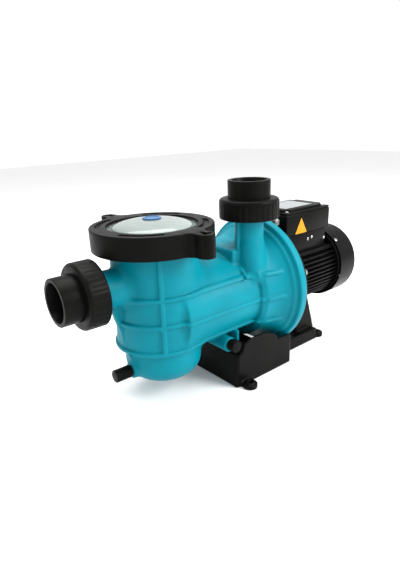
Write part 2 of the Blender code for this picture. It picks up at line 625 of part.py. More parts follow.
def motor_adaptor(bolt_face):
    """Front end shield with the flange that meets the pump."""
    profile = [(FRAME_RADIUS + 3 * MM, FRAME_START_X - GAP), (FRAME_RADIUS + 3 * MM, 116 * MM),
               (82 * MM, bolt_face), (ADAPTOR_RADIUS, bolt_face), (ADAPTOR_RADIUS, 104 * MM + GAP),
               (72 * MM, 104 * MM + GAP), (60 * MM, 112 * MM), (26 * MM, 112 * MM), (26 * MM, 104 * MM),
               (12 * MM, 104 * MM), (12 * MM, 108 * MM), (21.3 * MM, 108 * MM),
               (21.3 * MM, 124 * MM), (27 * MM, 124 * MM), (50 * MM, 120 * MM),
               (54 * MM, FRAME_START_X - GAP)]
    shield = lathe("motor_adaptor", profile, SHAFT, TOWARDS_MOTOR, "motor_black")
    cut(shield, *[bolt_hole(i, 100 * MM, 120 * MM, "adaptor") for i in range(6)])


def motor_frame():
    """Cast frame with parallel side fins and a flat foot for the connection box."""
    frame = ring("motor_frame", FRAME_RADIUS, FRAME_BORE - 2 * MM, FRAME_START_X, FRAME_END_X, SHAFT,
                 TOWARDS_MOTOR, "motor_black")
    fins = []
    for step in range(-5, 5):
        height = SHAFT_Z + step * FIN_PITCH
        tip = math.sqrt(FIN_RADIUS ** 2 - (step * FIN_PITCH) ** 2)
        fins.append(block(f"fin {step}", (FRAME_START_X + 1 * MM, -tip, height - FIN_THICKNESS / 2),
                          (FRAME_END_X - 1 * MM, tip, height + FIN_THICKNESS / 2)))
    join(frame, *fins, block("box foot", (FRAME_START_X + 2 * MM, -46 * MM, SHAFT_Z + 43 * MM),
                      (FRAME_END_X - 12 * MM, 46 * MM, BOX_FLOOR_Z - GAP)))
    cut(frame, disc("frame bore", FRAME_BORE, FRAME_START_X - 5 * MM, FRAME_END_X + 5 * MM, SHAFT,
                    TOWARDS_MOTOR),
        disc("wire way", 12 * MM, SHAFT_Z + 40 * MM, BOX_FLOOR_Z + 5 * MM, (180 * MM, 0, 0), UP,
             None, SMALL))


def stator_and_rotor():
    ring("stator_core", FRAME_BORE - GAP, 33.5 * MM, 166 * MM, 250 * MM, SHAFT, TOWARDS_MOTOR, "core_steel")
    for name, start, end in (("winding_front", 146, 165.7), ("winding_rear", 250.3, 268)):
        profile = [(50 * MM, end * MM), (53 * MM, (start + end) / 2 * MM), (50 * MM, start * MM),
                   (38 * MM, start * MM), (36 * MM, (start + end) / 2 * MM), (38 * MM, end * MM)]
        lathe(name, profile, SHAFT, TOWARDS_MOTOR, "copper", MEDIUM)
    ring("rotor_core", 32.5 * MM, SHAFT_RADIUS + GAP, 165 * MM, 251 * MM, SHAFT, TOWARDS_MOTOR,
         "core_steel", MEDIUM)


def shaft():
    profile = [(0, 332 * MM), (7 * MM, 332 * MM), (7 * MM, 300 * MM), (SHAFT_RADIUS, 300 * MM),
               (SHAFT_RADIUS, 50 * MM), (8 * MM, 50 * MM), (8 * MM, 25.6 * MM), (5 * MM, 25.6 * MM),
               (5 * MM, 14 * MM), (0, 14 * MM)]
    lathe("shaft", profile, SHAFT, TOWARDS_MOTOR, "steel", SMALL)
    nose = [(9 * MM, 25.3 * MM), (9 * MM, 16 * MM), (6 * MM, 12 * MM), (5.3 * MM, 12 * MM),
            (5.3 * MM, 25.3 * MM)]
    lathe("impeller_nut", nose, SHAFT, TOWARDS_MOTOR, "steel", SMALL)


def bearings():
    for name, start, end in (("front_bearing", 108.3, 122), ("rear_bearing", 280, 293.7)):
        ring(name, 21 * MM, SHAFT_RADIUS + GAP, start * MM, end * MM, SHAFT, TOWARDS_MOTOR, "steel", SMALL)


def rear_end_shield():
    profile = [(FAN_COVER_RADIUS - 4 * MM, 288 * MM), (FAN_COVER_RADIUS - 4 * MM, FRAME_END_X + GAP),
               (52 * MM, FRAME_END_X + GAP), (50 * MM, 286 * MM), (24 * MM, 286 * MM),
               (24 * MM, 279 * MM), (21.3 * MM, 279 * MM), (21.3 * MM, 294 * MM),
               (11 * MM, 294 * MM), (11 * MM, 298 * MM), (26 * MM, 298 * MM), (30 * MM, 291 * MM),
               (60 * MM, 291 * MM)]
    lathe("rear_end_shield", profile, SHAFT, TOWARDS_MOTOR, "motor_black")


def cooling_fan():
    profile = [(60 * MM, 304 * MM), (60 * MM, 301 * MM), (14 * MM, 301 * MM), (7.3 * MM, 301 * MM),
               (7.3 * MM, 326 * MM), (14 * MM, 326 * MM), (14 * MM, 304 * MM)]
    wheel = lathe("fan", profile, SHAFT, TOWARDS_MOTOR, "black_plastic", MEDIUM)
    blades = []
    for i in range(8):
        blade = block(f"fan blade {i}", (302 * MM, -1.2 * MM, -22 * MM), (324 * MM, 1.2 * MM, 22 * MM))
        angle = math.radians(45 * i)
        blade.rotation_euler = (angle, 0, 0)
        blade.location = (313 * MM, -34 * MM * math.sin(angle), SHAFT_Z + 34 * MM * math.cos(angle))
        blades.append(blade)
    join(wheel, *blades)


def fan_cover():
    """Pressed cover over the fan with an air grille in its rear face."""
    outer = FAN_COVER_RADIUS
    end = FAN_COVER_END_X
    wall = 2 * MM
    profile = [(0, end), (outer - 14 * MM, end), (outer - 5 * MM, end - 4 * MM), (outer, end - 13 * MM),
               (outer, FAN_COVER_START_X), (outer - wall, FAN_COVER_START_X),
               (outer - wall, end - 14 * MM), (outer - 7 * MM, end - 6 * MM),
               (outer - 15 * MM, end - wall), (0, end - wall)]
    cover = lathe("fan_cover", profile, SHAFT, TOWARDS_MOTOR, "motor_black")
    slots = []
    for level in range(-3, 4):
        reach = math.sqrt((outer - 22 * MM) ** 2 - (level * 14 * MM) ** 2)
        for side in (-1, 1):
            near, far = sorted((side * 6 * MM, side * reach))
            slots.append(block(f"grille slot {level} {side}",
                               (end - 8 * MM, near, SHAFT_Z + (level * 14 - 3.5) * MM),
                               (end + 8 * MM, far, SHAFT_Z + (level * 14 + 3.5) * MM)))
    cut(cover, *slots)
    for i in range(4):
        angle = math.radians(45 + 90 * i)
        outwards = (0, math.cos(angle), math.sin(angle))
        root = Vector(SHAFT) + Vector((FAN_COVER_START_X + 7 * MM, 0, 0))
        disc(f"fan_cover_screw_{i + 1}", 4.5 * MM, outer + GAP, outer + 2.3 * MM, root, outwards,
             "steel", TINY)


def terminal_box():
    """Connection box on the motor, its lid, and what it holds."""
    low = (BOX_START_X, -BOX_HALF_WIDTH, BOX_FLOOR_Z)
    high = (BOX_END_X, BOX_HALF_WIDTH, BOX_SEAM_Z)
    box = block("terminal_box", low, high, "black_plastic", 3 * MM)
    hollow = block("box hollow", (BOX_START_X + 4 * MM, 4 * MM - BOX_HALF_WIDTH, BOX_FLOOR_Z + 4 * MM),
                   (BOX_END_X - 4 * MM, BOX_HALF_WIDTH - 4 * MM, BOX_SEAM_Z + 5 * MM))
    wires = disc("box wire hole", 11 * MM, BOX_FLOOR_Z - 5 * MM, BOX_FLOOR_Z + 8 * MM, (180 * MM, 0, 0),
                 UP, None, SMALL)
    entry = disc("gland hole", 6 * MM, -BOX_START_X - 10 * MM, -BOX_START_X + 5 * MM, GLAND,
                 TOWARDS_SUCTION, None, SMALL)
    cut(box, hollow, wires, entry)
    lid = block("terminal_box_lid", (BOX_START_X + 1 * MM, 1 * MM - BOX_HALF_WIDTH, BOX_SEAM_Z + GAP),
                (BOX_END_X - 1 * MM, BOX_HALF_WIDTH - 1 * MM, BOX_LEDGE_Z), "black_plastic", 1.5 * MM)
    raised = [block(f"lid panel {inset}", (BOX_START_X + inset * MM, -half * MM, BOX_SEAM_Z + 2 * MM),
                    (BOX_END_X - inset * MM, half * MM, BOX_TOP_Z), None, 1 * MM)
              for inset, half in ((8, 34), (20, 44))]
    join(lid, *raised)
    lid_hollow = block("lid hollow", (BOX_START_X + 12 * MM, 12 * MM - BOX_HALF_WIDTH, BOX_SEAM_Z - 5 * MM),
                       (BOX_END_X - 12 * MM, BOX_HALF_WIDTH - 12 * MM, BOX_SEAM_Z + 2 * MM))
    cut(lid, lid_hollow)
    disc("capacitor", 17 * MM, 160 * MM, 240 * MM, (0, 26 * MM, 268.5 * MM), TOWARDS_MOTOR,
         "silver_plate", SMALL)
    block("terminal_block", (200 * MM, -40 * MM, BOX_FLOOR_Z + 4 * MM + GAP),
          (245 * MM, -10 * MM, 265 * MM), "grey_plastic", 1 * MM)
    block("rating_plate", (146 * MM, -32 * MM, BOX_TOP_Z + GAP),
          (232 * MM, 32 * MM, BOX_TOP_Z + 1.2 * MM), "silver_plate")
    for i, (x, y) in enumerate(((141, -41), (257, -41), (141, 41), (257, 41))):
        disc(f"box_lid_screw_{i + 1}", 4 * MM, BOX_LEDGE_Z + GAP, BOX_LEDGE_Z + 2 * MM,
             (x * MM, y * MM, 0), UP, "steel", TINY)


def triangle_plate():
    """Plain yellow three-sided plate on the box's side."""
    reach = 23 * MM
    points = [(reach * math.cos(a), reach * math.sin(a))
              for a in (math.radians(90 + 120 * i) for i in range(3))]
    outline_plate("warning_plate", [points], GAP, 1.2 * MM,
                  (173 * MM, -BOX_HALF_WIDTH, 259 * MM), FRONT_SIDE, "yellow")


GLAND = (0, -24 * MM, 275 * MM)


def cable_gland():
    """Gland in the box's front face, where the supply cable enters."""
    face = -BOX_START_X
    body = [(10 * MM, face + 4 * MM), (10 * MM, face + GAP), (5 * MM, face + GAP),
            (5 * MM, face - 9 * MM), (3.6 * MM, face - 9 * MM), (3.6 * MM, face + 4 * MM)]
    lathe("cable_gland", body, GLAND, TOWARDS_SUCTION, "grey_plastic", SMALL)
    cap = [(7.5 * MM, face + 8.7 * MM), (9.5 * MM, face + 7 * MM), (9.5 * MM, face + 4 * MM + GAP),
           (4.5 * MM, face + 4 * MM + GAP), (4.5 * MM, face + 8.7 * MM)]
    lathe("gland_nut", cap, GLAND, TOWARDS_SUCTION, "grey_plastic", SMALL)


# -------------------------------------------------------------------- base

def base_outline():
    """Side view of the front box as (x, z), stepped round the passage's drain."""
    return [(BASE_FRONT_X, 0), (BASE_REAR_X, 0), (BASE_REAR_X, 64 * MM),
            (56 * MM, 66 * MM), (36 * MM, 82 * MM), (14 * MM, BASE_CHEEK_Z),
            (-26 * MM, BASE_CHEEK_Z), (-43 * MM, 82 * MM), (-49 * MM, 69 * MM),
            (BASE_FRONT_X + 5 * MM, 64 * MM)]


def side_plate(name, points, half_width):
    return outline_plate(name, [points], -half_width, half_width, (0, 0, 0), FRONT_SIDE)


def pump_base():
    """Moulded base: a cradle under the volute, rails, and a saddle for the motor."""
    base = outline_plate("pump_base", [base_outline()], -BASE_HALF_WIDTH,
                         BASE_HALF_WIDTH, (0, 0, 0), FRONT_SIDE, "black_plastic")
    rails = block("base rails", (BASE_REAR_X - 10 * MM, -REAR_RAIL_HALF_WIDTH, 0),
                  (REAR_RAIL_END_X, REAR_RAIL_HALF_WIDTH, REAR_RAIL_TOP_Z))
    saddle = side_plate("motor saddle", [(SADDLE_START_X, 0), (SADDLE_END_X, 0),
                                         (SADDLE_END_X - 34 * MM, 110 * MM),
                                         (SADDLE_START_X + 4 * MM, 110 * MM)], 58 * MM)
    feet = []
    for x, y in ((-41, 116), (-41, -116), (228, 64), (228, -64)):
        feet.append(disc(f"foot {x} {y}", 14 * MM, 0, 9 * MM, (x * MM, y * MM, 0), UP, None, SMALL))
        feet.append(disc(f"foot root {x} {y}", 14 * MM, 0, 9 * MM,
                         (x * MM * 0.96, y * 0.9 * MM, 0), UP, None, SMALL))
    join(base, rails, saddle, *feet)
    low = -5 * MM
    front_hollow = side_plate("cradle hollow", [(BASE_FRONT_X + BASE_WALL - 1.5 * MM, low),
                                                (70 * MM, low), (70 * MM, 100 * MM), (-37 * MM, 100 * MM),
                                                (-37 * MM, 82 * MM), (-42 * MM, 68 * MM),
                                                (BASE_FRONT_X + 5 * MM + BASE_WALL, 60 * MM)],
                              BASE_HALF_WIDTH - BASE_WALL)
    rail_hollow = block("rail hollow", (70 * MM - GAP, 6 * MM - REAR_RAIL_HALF_WIDTH, low),
                        (SADDLE_START_X + 4 * MM, REAR_RAIL_HALF_WIDTH - 6 * MM, REAR_RAIL_TOP_Z + 6 * MM))
    saddle_hollow = side_plate("saddle hollow", [(SADDLE_START_X + 3 * MM, low),
                                                 (SADDLE_END_X - 5 * MM, low),
                                                 (SADDLE_END_X - 26 * MM, 66 * MM),
                                                 (SADDLE_START_X + 9 * MM, 66 * MM)], 53 * MM)
    drum_space = disc("drum space", DRUM_RADIUS + 6.5 * MM, -100 * MM, 76 * MM, SHAFT, TOWARDS_MOTOR)
    flange_space = disc("flange space", FLANGE_RADIUS + 1 * MM, FLANGE_X - 30 * MM, 122 * MM, SHAFT,
                        TOWARDS_MOTOR)
    motor_space = disc("motor space", FIN_RADIUS + 2 * MM, 110 * MM, 300 * MM, SHAFT, TOWARDS_MOTOR)
    foot_holes = [disc(f"foot hole {x} {y}", 4.5 * MM, -5 * MM, 15 * MM, (x * MM, y * MM, 0), UP, None, TINY)
                  for x, y in ((-41, 117), (-41, -117), (229, 65), (229, -65))]
    cut(base, front_hollow, rail_hollow, saddle_hollow, drum_space, flange_space, motor_space, *foot_holes)


def main():
    pump_body()
    diffuser()
    impeller()
    shaft_seal()
    seal_plate()
    union("suction", SUCTION, TOWARDS_MOTOR)
    union("discharge", DISCHARGE, DOWN)
    drain("pot_drain", (POT_DRAIN_X, 0, POT_DRAIN_Z), TOWARDS_SUCTION, POT_DRAIN_HEAD)
    drain("tunnel_drain", (TUNNEL_DRAIN_X, TUNNEL_DRAIN_Y, TUNNEL_DRAIN_Z + 2 * MM), FRONT_SIDE,
          TUNNEL_DRAIN_HEAD)
    strainer_lid()
    lock_ring()
    basket()
    bolt_face = 112 * MM
    motor_adaptor(bolt_face)
    flange_bolts(bolt_face + GAP)
    motor_frame()
    stator_and_rotor()
    shaft()
    bearings()
    rear_end_shield()
    cooling_fan()
    fan_cover()
    terminal_box()
    triangle_plate()
    cable_gland()
    pump_base()


main()
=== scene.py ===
"""Pool pump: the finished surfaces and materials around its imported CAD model.

Sizes are in millimetres in the shape code and become metres when a mesh is made.
+X runs from the suction end towards the motor, +Z is up, and the shaft's axis is at
SHAFT_Z. Moulded pieces with fillets are written as distance functions (negative
inside), blended with soft_min and soft_max, and skinned into quads by skin().
"""

import json
import math

import bmesh
import bpy
import numpy as np
from mathutils import Matrix, Vector


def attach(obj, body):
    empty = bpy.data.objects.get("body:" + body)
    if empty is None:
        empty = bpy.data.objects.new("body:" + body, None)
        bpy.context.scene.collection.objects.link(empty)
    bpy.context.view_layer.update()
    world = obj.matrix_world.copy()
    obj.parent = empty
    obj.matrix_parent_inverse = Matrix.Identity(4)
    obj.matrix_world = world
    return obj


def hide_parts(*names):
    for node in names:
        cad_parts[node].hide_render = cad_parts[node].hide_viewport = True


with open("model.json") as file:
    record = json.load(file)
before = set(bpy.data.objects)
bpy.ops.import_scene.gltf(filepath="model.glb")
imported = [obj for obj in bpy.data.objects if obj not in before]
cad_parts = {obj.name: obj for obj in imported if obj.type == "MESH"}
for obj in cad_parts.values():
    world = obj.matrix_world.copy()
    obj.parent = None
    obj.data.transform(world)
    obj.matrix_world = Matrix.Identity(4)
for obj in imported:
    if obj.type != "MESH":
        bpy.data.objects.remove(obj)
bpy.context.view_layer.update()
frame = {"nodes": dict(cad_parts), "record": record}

MM = 0.001
GAP = 0.3

SHAFT_Z = 155
POT_X = -158
SUCTION_Z = 221
SUCTION_RIM_X = -344
DISCHARGE_X = 23
DISCHARGE_Y = -50
DISCHARGE_TOP_Z = 373
LID_TOP_Z = 315

POT_RADIUS = 77
POT_WALL = 5
CUP_X = -153
CUP_RADIUS = 70
COLLAR_RADIUS = 90
COLLAR_TOP_Z = LID_TOP_Z - 13
RING_HEIGHT = 39
RING_RADIUS = 106
RING_WINDOW_RADIUS = 78
TUNNEL_HALF_WIDTH = 89
TUNNEL_HALF_HEIGHT = 82
DRUM_FRONT_X = -22
DRUM_STEP_X = 14
DRUM_RADIUS = 101
SHELF_Z = 249
SHELF_HALF_WIDTH = 52
INTAKE_RADIUS = 76
FLANGE_X = 78
FLANGE_BACK_X = 96
FLANGE_RADIUS = 135
CHAMBER_RADIUS = 94
RIB_HEIGHTS = (202, 155, 105)
RIB_PROUD = 4.2
RIB_HALF_WIDTH = 3.8

SOCKET_RADIUS = 39
PIPE_RADIUS = 31.6
TAIL_LENGTH = 52
NUT_RADIUS = 55.2
NUT_START = 32
NUT_END = 69
NUT_LIP = 10.5
UNION_COLLAR_RADIUS = 44.5
UNION_COLLAR_LENGTH = 13
NECK_BORE_RADIUS = 22
SUCTION_NECK_RADIUS = 31.5
DISCHARGE_NECK_RADIUS = 27
UNION_BACK = TAIL_LENGTH + 2 * GAP

POT_DRAIN = (-225, 0, 59)
TUNNEL_DRAIN = (-62, -86, 86)
DRAIN_BORE = 7
POT_DRAIN_HEAD = 30
TUNNEL_DRAIN_HEAD = 15

MOTOR_START_X = 134
MOTOR_END_X = 278
FIN_RADIUS = 73
FIN_PITCH = 9
BARREL_RADIUS = 62
BARREL_BORE = 56
BOX_FOOT_HALF_WIDTH = 46
FAN_COVER_START_X = 284
FAN_COVER_END_X = 344
FAN_COVER_RADIUS = 82
BOX_START_X = 128
BOX_END_X = 270
BOX_HALF_WIDTH = 52
BOX_FLOOR_Z = 246
BOX_SEAM_Z = 290
BOX_LEDGE_Z = 294.5
BOX_TOP_Z = 299
GLAND = (0, -24, 275)
TRIANGLE_X = 173
TRIANGLE_Z = 259

TOWARDS_MOTOR = (1, 0, 0)
TOWARDS_SUCTION = (-1, 0, 0)
UP = (0, 0, 1)
DOWN = (0, 0, -1)
FRONT_SIDE = (0, -1, 0)
SHAFT = (0, 0, SHAFT_Z)
POT = (POT_X, 0, 0)


# ------------------------------------------------------- distance functions

def soft_min(a, b, width):
    """Union of two shapes with a fillet of about this width."""
    mix = np.clip(0.5 + 0.5 * (b - a) / width, 0, 1)
    return b + (a - b) * mix - width * mix * (1 - mix)


def soft_max(a, b, width):
    """Intersection of two shapes with a rounded edge."""
    return -soft_min(-a, -b, width)


def rounded(side, ends, rounding):
    """Distance of a shape given by its side and its ends, with rounded edges."""
    side = side + rounding
    ends = ends + rounding
    outside = np.hypot(np.maximum(side, 0), np.maximum(ends, 0))
    return outside + np.minimum(np.maximum(side, ends), 0) - rounding


def rod(points, start, end, radius, rounding=1.0):
    """Cylinder between two points."""
    start = np.array(start, float)
    end = np.array(end, float)
    length = np.linalg.norm(end - start)
    axis = (end - start) / length
    away = points - (start + end) / 2
    along = away @ axis
    across = np.sqrt(np.maximum((away ** 2).sum(-1) - along ** 2, 0))
    return rounded(across - radius, np.abs(along) - length / 2, rounding)


def slab(points, low, high, rounding=1.0):
    """Box between two corners."""
    middle = (np.array(low, float) + np.array(high, float)) / 2
    half = (np.array(high, float) - np.array(low, float)) / 2 - rounding
    away = np.abs(points - middle) - half
    outside = np.sqrt((np.maximum(away, 0) ** 2).sum(-1))
    return outside + np.minimum(away.max(-1), 0) - rounding


def plate(points, outline, half_width, rounding=1.0):
    """Outline of (x, z) points, extruded to both sides of the plane y = 0."""
    x, y, z = points[..., 0], points[..., 1], points[..., 2]
    nearest = np.full(x.shape, 1e9)
    inside = np.zeros(x.shape, bool)
    for (ax, az), (bx, bz) in zip(outline, outline[1:] + outline[:1]):
        dx, dz = bx - ax, bz - az
        share = np.clip(((x - ax) * dx + (z - az) * dz) / (dx * dx + dz * dz), 0, 1)
        nearest = np.minimum(nearest, np.hypot(x - ax - share * dx, z - az - share * dz))
        crosses = (az > z) != (bz > z)
        with np.errstate(divide="ignore", invalid="ignore"):
            inside ^= crosses & (x < dx * (z - az) / (dz or 1e-9) + ax)
    edge = np.where(inside, -nearest, nearest)
    return rounded(edge, np.abs(y) - half_width, rounding)


def oval(points, half_width, half_height, start, end, rounding=1.0):
    """Elliptic cylinder about the shaft's axis."""
    y = points[..., 1]
    z = points[..., 2] - SHAFT_Z
    near = np.hypot(y / half_width, z / half_height)
    slope = np.hypot(y / half_width ** 2, z / half_height ** 2) + 1e-6
    x = points[..., 0]
    return rounded(near * (near - 1) / slope, np.maximum(start - x, x - end), rounding)


def turned(points, profile):
    """Body of revolution about the shaft's axis from (x, radius) stations."""
    x = points[..., 0]
    stations, radii = zip(*profile)
    radius = np.interp(x, stations, radii)
    reach = np.hypot(points[..., 1], points[..., 2] - SHAFT_Z)
    return soft_max(0.8 * (reach - radius), np.maximum(stations[0] - x, x - stations[-1]), 2.5)


def hollowed(outside, hollows, width=1.5):
    """The outside less each hollow, with softened mouths."""
    for hollow in hollows:
        outside = soft_max(outside, -hollow, width)
    return outside


# --------------------------------------------------------------- skinning

BLOCK = 8                          # grid cells along one side of a coarse block


def sample(shape, axes, step):
    """Distances on a grid, worked out in full only in blocks near the surface."""
    counts = [len(axis) // BLOCK for axis in axes]
    middles = [axis[:n * BLOCK].reshape(n, BLOCK).mean(1) for axis, n in zip(axes, counts)]
    centres = np.stack(np.meshgrid(*middles, indexing="ij"), -1)
    coarse = shape(centres)
    values = np.repeat(np.repeat(np.repeat(coarse, BLOCK, 0), BLOCK, 1), BLOCK, 2)
    near = np.argwhere(np.abs(coarse) < 1.7 * BLOCK * step)
    offsets = (np.arange(BLOCK) - (BLOCK - 1) / 2) * step
    local = np.stack(np.meshgrid(offsets, offsets, offsets, indexing="ij"), -1)
    for first in range(0, len(near), 1000):
        group = near[first:first + 1000]
        base = centres[group[:, 0], group[:, 1], group[:, 2]]
        block_values = shape(base[:, None, None, None, :] + local)
        for (i, j, k), block in zip(group * BLOCK, block_values):
            values[i:i + BLOCK, j:j + BLOCK, k:k + BLOCK] = block
    return values


def cell_points(values, cells, axes, step):
    """One point in each surface cell: the mean of where its edges cross zero."""
    total = np.zeros((len(cells), 3))
    count = np.zeros(len(cells))
    corners = [(a, b, c) for a in (0, 1) for b in (0, 1) for c in (0, 1)]
    for one in corners:
        for axis in range(3):
            if one[axis]:
                continue
            other = tuple(1 if i == axis else one[i] for i in range(3))
            v0 = values[tuple((cells + one).T)]
            v1 = values[tuple((cells + other).T)]
            cross = (v0 < 0) != (v1 < 0)
            share = np.where(cross, v0 / np.where(cross, v0 - v1, 1), 0)
            spot = np.tile(np.array(one, float), (len(cells), 1))
            spot[:, axis] += share
            total += spot * cross[:, None]
            count += cross
    origin = np.array([axis[0] for axis in axes])
    return origin + (cells + total / count[:, None]) * step


def settle(shape, points, rounds=3):
    """Moves points onto the surface along the shape's slope."""
    reach = 0.05
    for _ in range(rounds):
        value = shape(points)
        slope = np.stack([(shape(points + reach * unit) - shape(points - reach * unit)) / (2 * reach)
                          for unit in np.eye(3)], -1)
        size = np.maximum((slope ** 2).sum(-1), 0.05)
        move = slope * (value / size)[:, None]
        points = points - np.clip(move, -1.0, 1.0)
    return points


def skin(name, shape, low, high, step):
    """Quad mesh of the surface where the shape's distance is zero."""
    axes = []
    for start, end in zip(low, high):
        cells = int(math.ceil((end - start) / (step * BLOCK))) + 1
        axes.append(start - step + np.arange(cells * BLOCK) * step)
    values = sample(shape, axes, step)
    inside = values < 0
    parts = [inside[a:a - 1 or None, b:b - 1 or None, c:c - 1 or None]
             for a in (0, 1) for b in (0, 1) for c in (0, 1)]
    mixed = np.any(parts, axis=0) & ~np.all(parts, axis=0)
    cells = np.argwhere(mixed)
    index = np.full(mixed.shape, -1)
    index[mixed] = np.arange(len(cells))
    points = settle(shape, cell_points(values, cells, axes, step))
    faces = []
    for axis in range(3):
        u, v = (axis + 1) % 3, (axis + 2) % 3
        first = np.take(inside, range(inside.shape[axis] - 1), axis)
        second = np.take(inside, range(1, inside.shape[axis]), axis)
        edges = np.argwhere(first != second)
        edges = edges[(edges[:, u] > 0) & (edges[:, v] > 0)]
        step_u, step_v = np.eye(3, dtype=int)[u], np.eye(3, dtype=int)[v]
        quad = np.stack([index[tuple((edges - a * step_u - b * step_v).T)]
                         for a, b in ((1, 1), (0, 1), (0, 0), (1, 0))], -1)
        leaving = first[tuple(edges.T)]
        quad[~leaving] = quad[~leaving][:, ::-1]
        faces.append(quad)
    mesh = bpy.data.meshes.new(name)
    mesh.from_pydata((points * MM).tolist(), [], np.concatenate(faces).tolist())
    mesh.shade_smooth()
    return place(name, mesh)


# ------------------------------------------------------------- mesh helpers

def place(name, mesh):
    piece = bpy.data.objects.new(name, mesh)
    bpy.context.scene.collection.objects.link(piece)
    return piece


def turn_towards(direction):
    """Rotation that takes +Z to a direction."""
    return Vector((0, 0, 1)).rotation_difference(Vector(direction)).to_matrix().to_4x4()


def lathe(name, profile, origin, direction, steps=96, ripple=None):
    """Turned piece from closed (radius, height) points, the outer side running downwards.

    ripple(radius, height, angle) may move a point in or out to form grips or ribs.
    """
    shape = bmesh.new()
    rings = []
    for radius, height in profile:
        if radius == 0:
            rings.append([shape.verts.new((0, 0, height * MM))])
            continue
        ring = []
        for i in range(steps):
            angle = 2 * math.pi * i / steps
            reach = ripple(radius, height, angle) if ripple else radius
            ring.append(shape.verts.new((reach * math.cos(angle) * MM, reach * math.sin(angle) * MM,
                                         height * MM)))
        rings.append(ring)
    for above, below in zip(rings, rings[1:] + rings[:1]):
        if len(above) == 1 and len(below) == 1:
            continue
        for i in range(steps):
            j = (i + 1) % steps
            corners = [above[i % len(above)], below[i % len(below)],
                       below[j % len(below)], above[j % len(above)]]
            shape.faces.new(list(dict.fromkeys(corners)))
    bmesh.ops.recalc_face_normals(shape, faces=shape.faces)
    shape.transform(Matrix.Translation(Vector(origin) * MM) @ turn_towards(direction))
    return finish_mesh(name, shape)


def finish_mesh(name, shape):
    mesh = bpy.data.meshes.new(name)
    shape.to_mesh(mesh)
    shape.free()
    mesh.shade_smooth()
    mesh.set_sharp_from_angle(angle=math.radians(38))
    return place(name, mesh)


def arc(radius, height, size, start, end, count=4):
    """Profile points round a corner's centre, angles in degrees."""
    points = []
    for i in range(count + 1):
        angle = math.radians(start + (end - start) * i / count)
        points.append((radius + size * math.cos(angle), height + size * math.sin(angle)))
    return points


def block(name, low, high, bevel=1.0, segments=3):
    """Box between two corners with rounded edges."""
    shape = bmesh.new()
    bmesh.ops.create_cube(shape, size=1.0)
    size = (Vector(high) - Vector(low)) * MM
    middle = (Vector(high) + Vector(low)) / 2 * MM
    bmesh.ops.scale(shape, vec=size, verts=shape.verts)
    bmesh.ops.translate(shape, vec=middle, verts=shape.verts)
    if bevel:
        bmesh.ops.bevel(shape, geom=shape.edges[:], offset=bevel * MM, segments=segments,
                        profile=0.5, affect="EDGES")
    return finish_mesh(name, shape)


def apply_modifiers(piece):
    graph = bpy.context.evaluated_depsgraph_get()
    mesh = bpy.data.meshes.new_from_object(piece.evaluated_get(graph))
    piece.modifiers.clear()
    piece.data = mesh
    piece.data.shade_smooth()
    piece.data.set_sharp_from_angle(angle=math.radians(38))


def combine(piece, tools, operation):
    """Boolean union or difference with several tools, applied at once."""
    group = bpy.data.collections.new(piece.name + " tools")
    for tool in tools:
        group.objects.link(tool)
    step = piece.modifiers.new("combine", "BOOLEAN")
    step.operation = operation
    step.operand_type = "COLLECTION"
    step.collection = group
    step.solver = "EXACT"
    apply_modifiers(piece)
    for tool in tools:
        bpy.data.objects.remove(tool, do_unlink=True)
    bpy.data.collections.remove(group)


# ---------------------------------------------------------------- materials

def node(tree, kind, **settings):
    made = tree.nodes.new(kind)
    for key, value in settings.items():
        if key in made.inputs:
            made.inputs[key].default_value = value
        else:
            setattr(made, key, value)
    return made


def surface(name, colour, roughness, metallic=0.0, transmission=0.0, ior=1.5, shine=0.5):
    """Principled material; returns it with its tree, shader and object coordinates."""
    made = bpy.data.materials.new(name)
    made.use_nodes = True
    tree = made.node_tree
    shader = tree.nodes["Principled BSDF"]
    shader.inputs["Base Color"].default_value = (*colour, 1)
    shader.inputs["Roughness"].default_value = roughness
    shader.inputs["Metallic"].default_value = metallic
    shader.inputs["Transmission Weight"].default_value = transmission
    shader.inputs["IOR"].default_value = ior
    shader.inputs["Specular IOR Level"].default_value = shine
    place_node = node(tree, "ShaderNodeTexCoord")
    return made, tree, shader, place_node.outputs["Object"]


def noise(tree, where, scale, detail=3.0):
    made = node(tree, "ShaderNodeTexNoise", Scale=scale, Detail=detail)
    tree.links.new(where, made.inputs["Vector"])
    return made.outputs["Fac"]


def spread(tree, value, low, high):
    """Maps a 0 to 1 value onto a range."""
    made = node(tree, "ShaderNodeMapRange")
    made.inputs["From Min"].default_value = 0.25
    made.inputs["From Max"].default_value = 0.75
    made.inputs["To Min"].default_value = low
    made.inputs["To Max"].default_value = high
    tree.links.new(value, made.inputs["Value"])
    return made.outputs["Result"]


def tint(tree, value, shader, dark, light):
    """Colour between two shades by a 0 to 1 value."""
    ramp = node(tree, "ShaderNodeValToRGB")
    ramp.color_ramp.elements[0].position = 0.3
    ramp.color_ramp.elements[0].color = (*dark, 1)
    ramp.color_ramp.elements[1].position = 0.7
    ramp.color_ramp.elements[1].color = (*light, 1)
    tree.links.new(value, ramp.inputs["Fac"])
    tree.links.new(ramp.outputs["Color"], shader.inputs["Base Color"])


def bump(tree, height, shader, strength, depth):
    made = node(tree, "ShaderNodeBump", Strength=strength, Distance=depth)
    tree.links.new(height, made.inputs["Height"])
    tree.links.new(made.outputs["Normal"], shader.inputs["Normal"])


def moulded(name, dark, light, roughness, grain, shine=0.3):
    """Moulded plastic: slow colour drift, uneven gloss and a fine spark texture."""
    made, tree, shader, where = surface(name, light, roughness, shine=shine)
    drift = noise(tree, where, 14.0)
    tint(tree, drift, shader, dark, light)
    gloss = noise(tree, where, 60.0)
    tree.links.new(spread(tree, gloss, roughness - 0.05, roughness + 0.07), shader.inputs["Roughness"])
    bump(tree, noise(tree, where, 1400.0, 2.0), shader, grain, 0.0002)
    return made


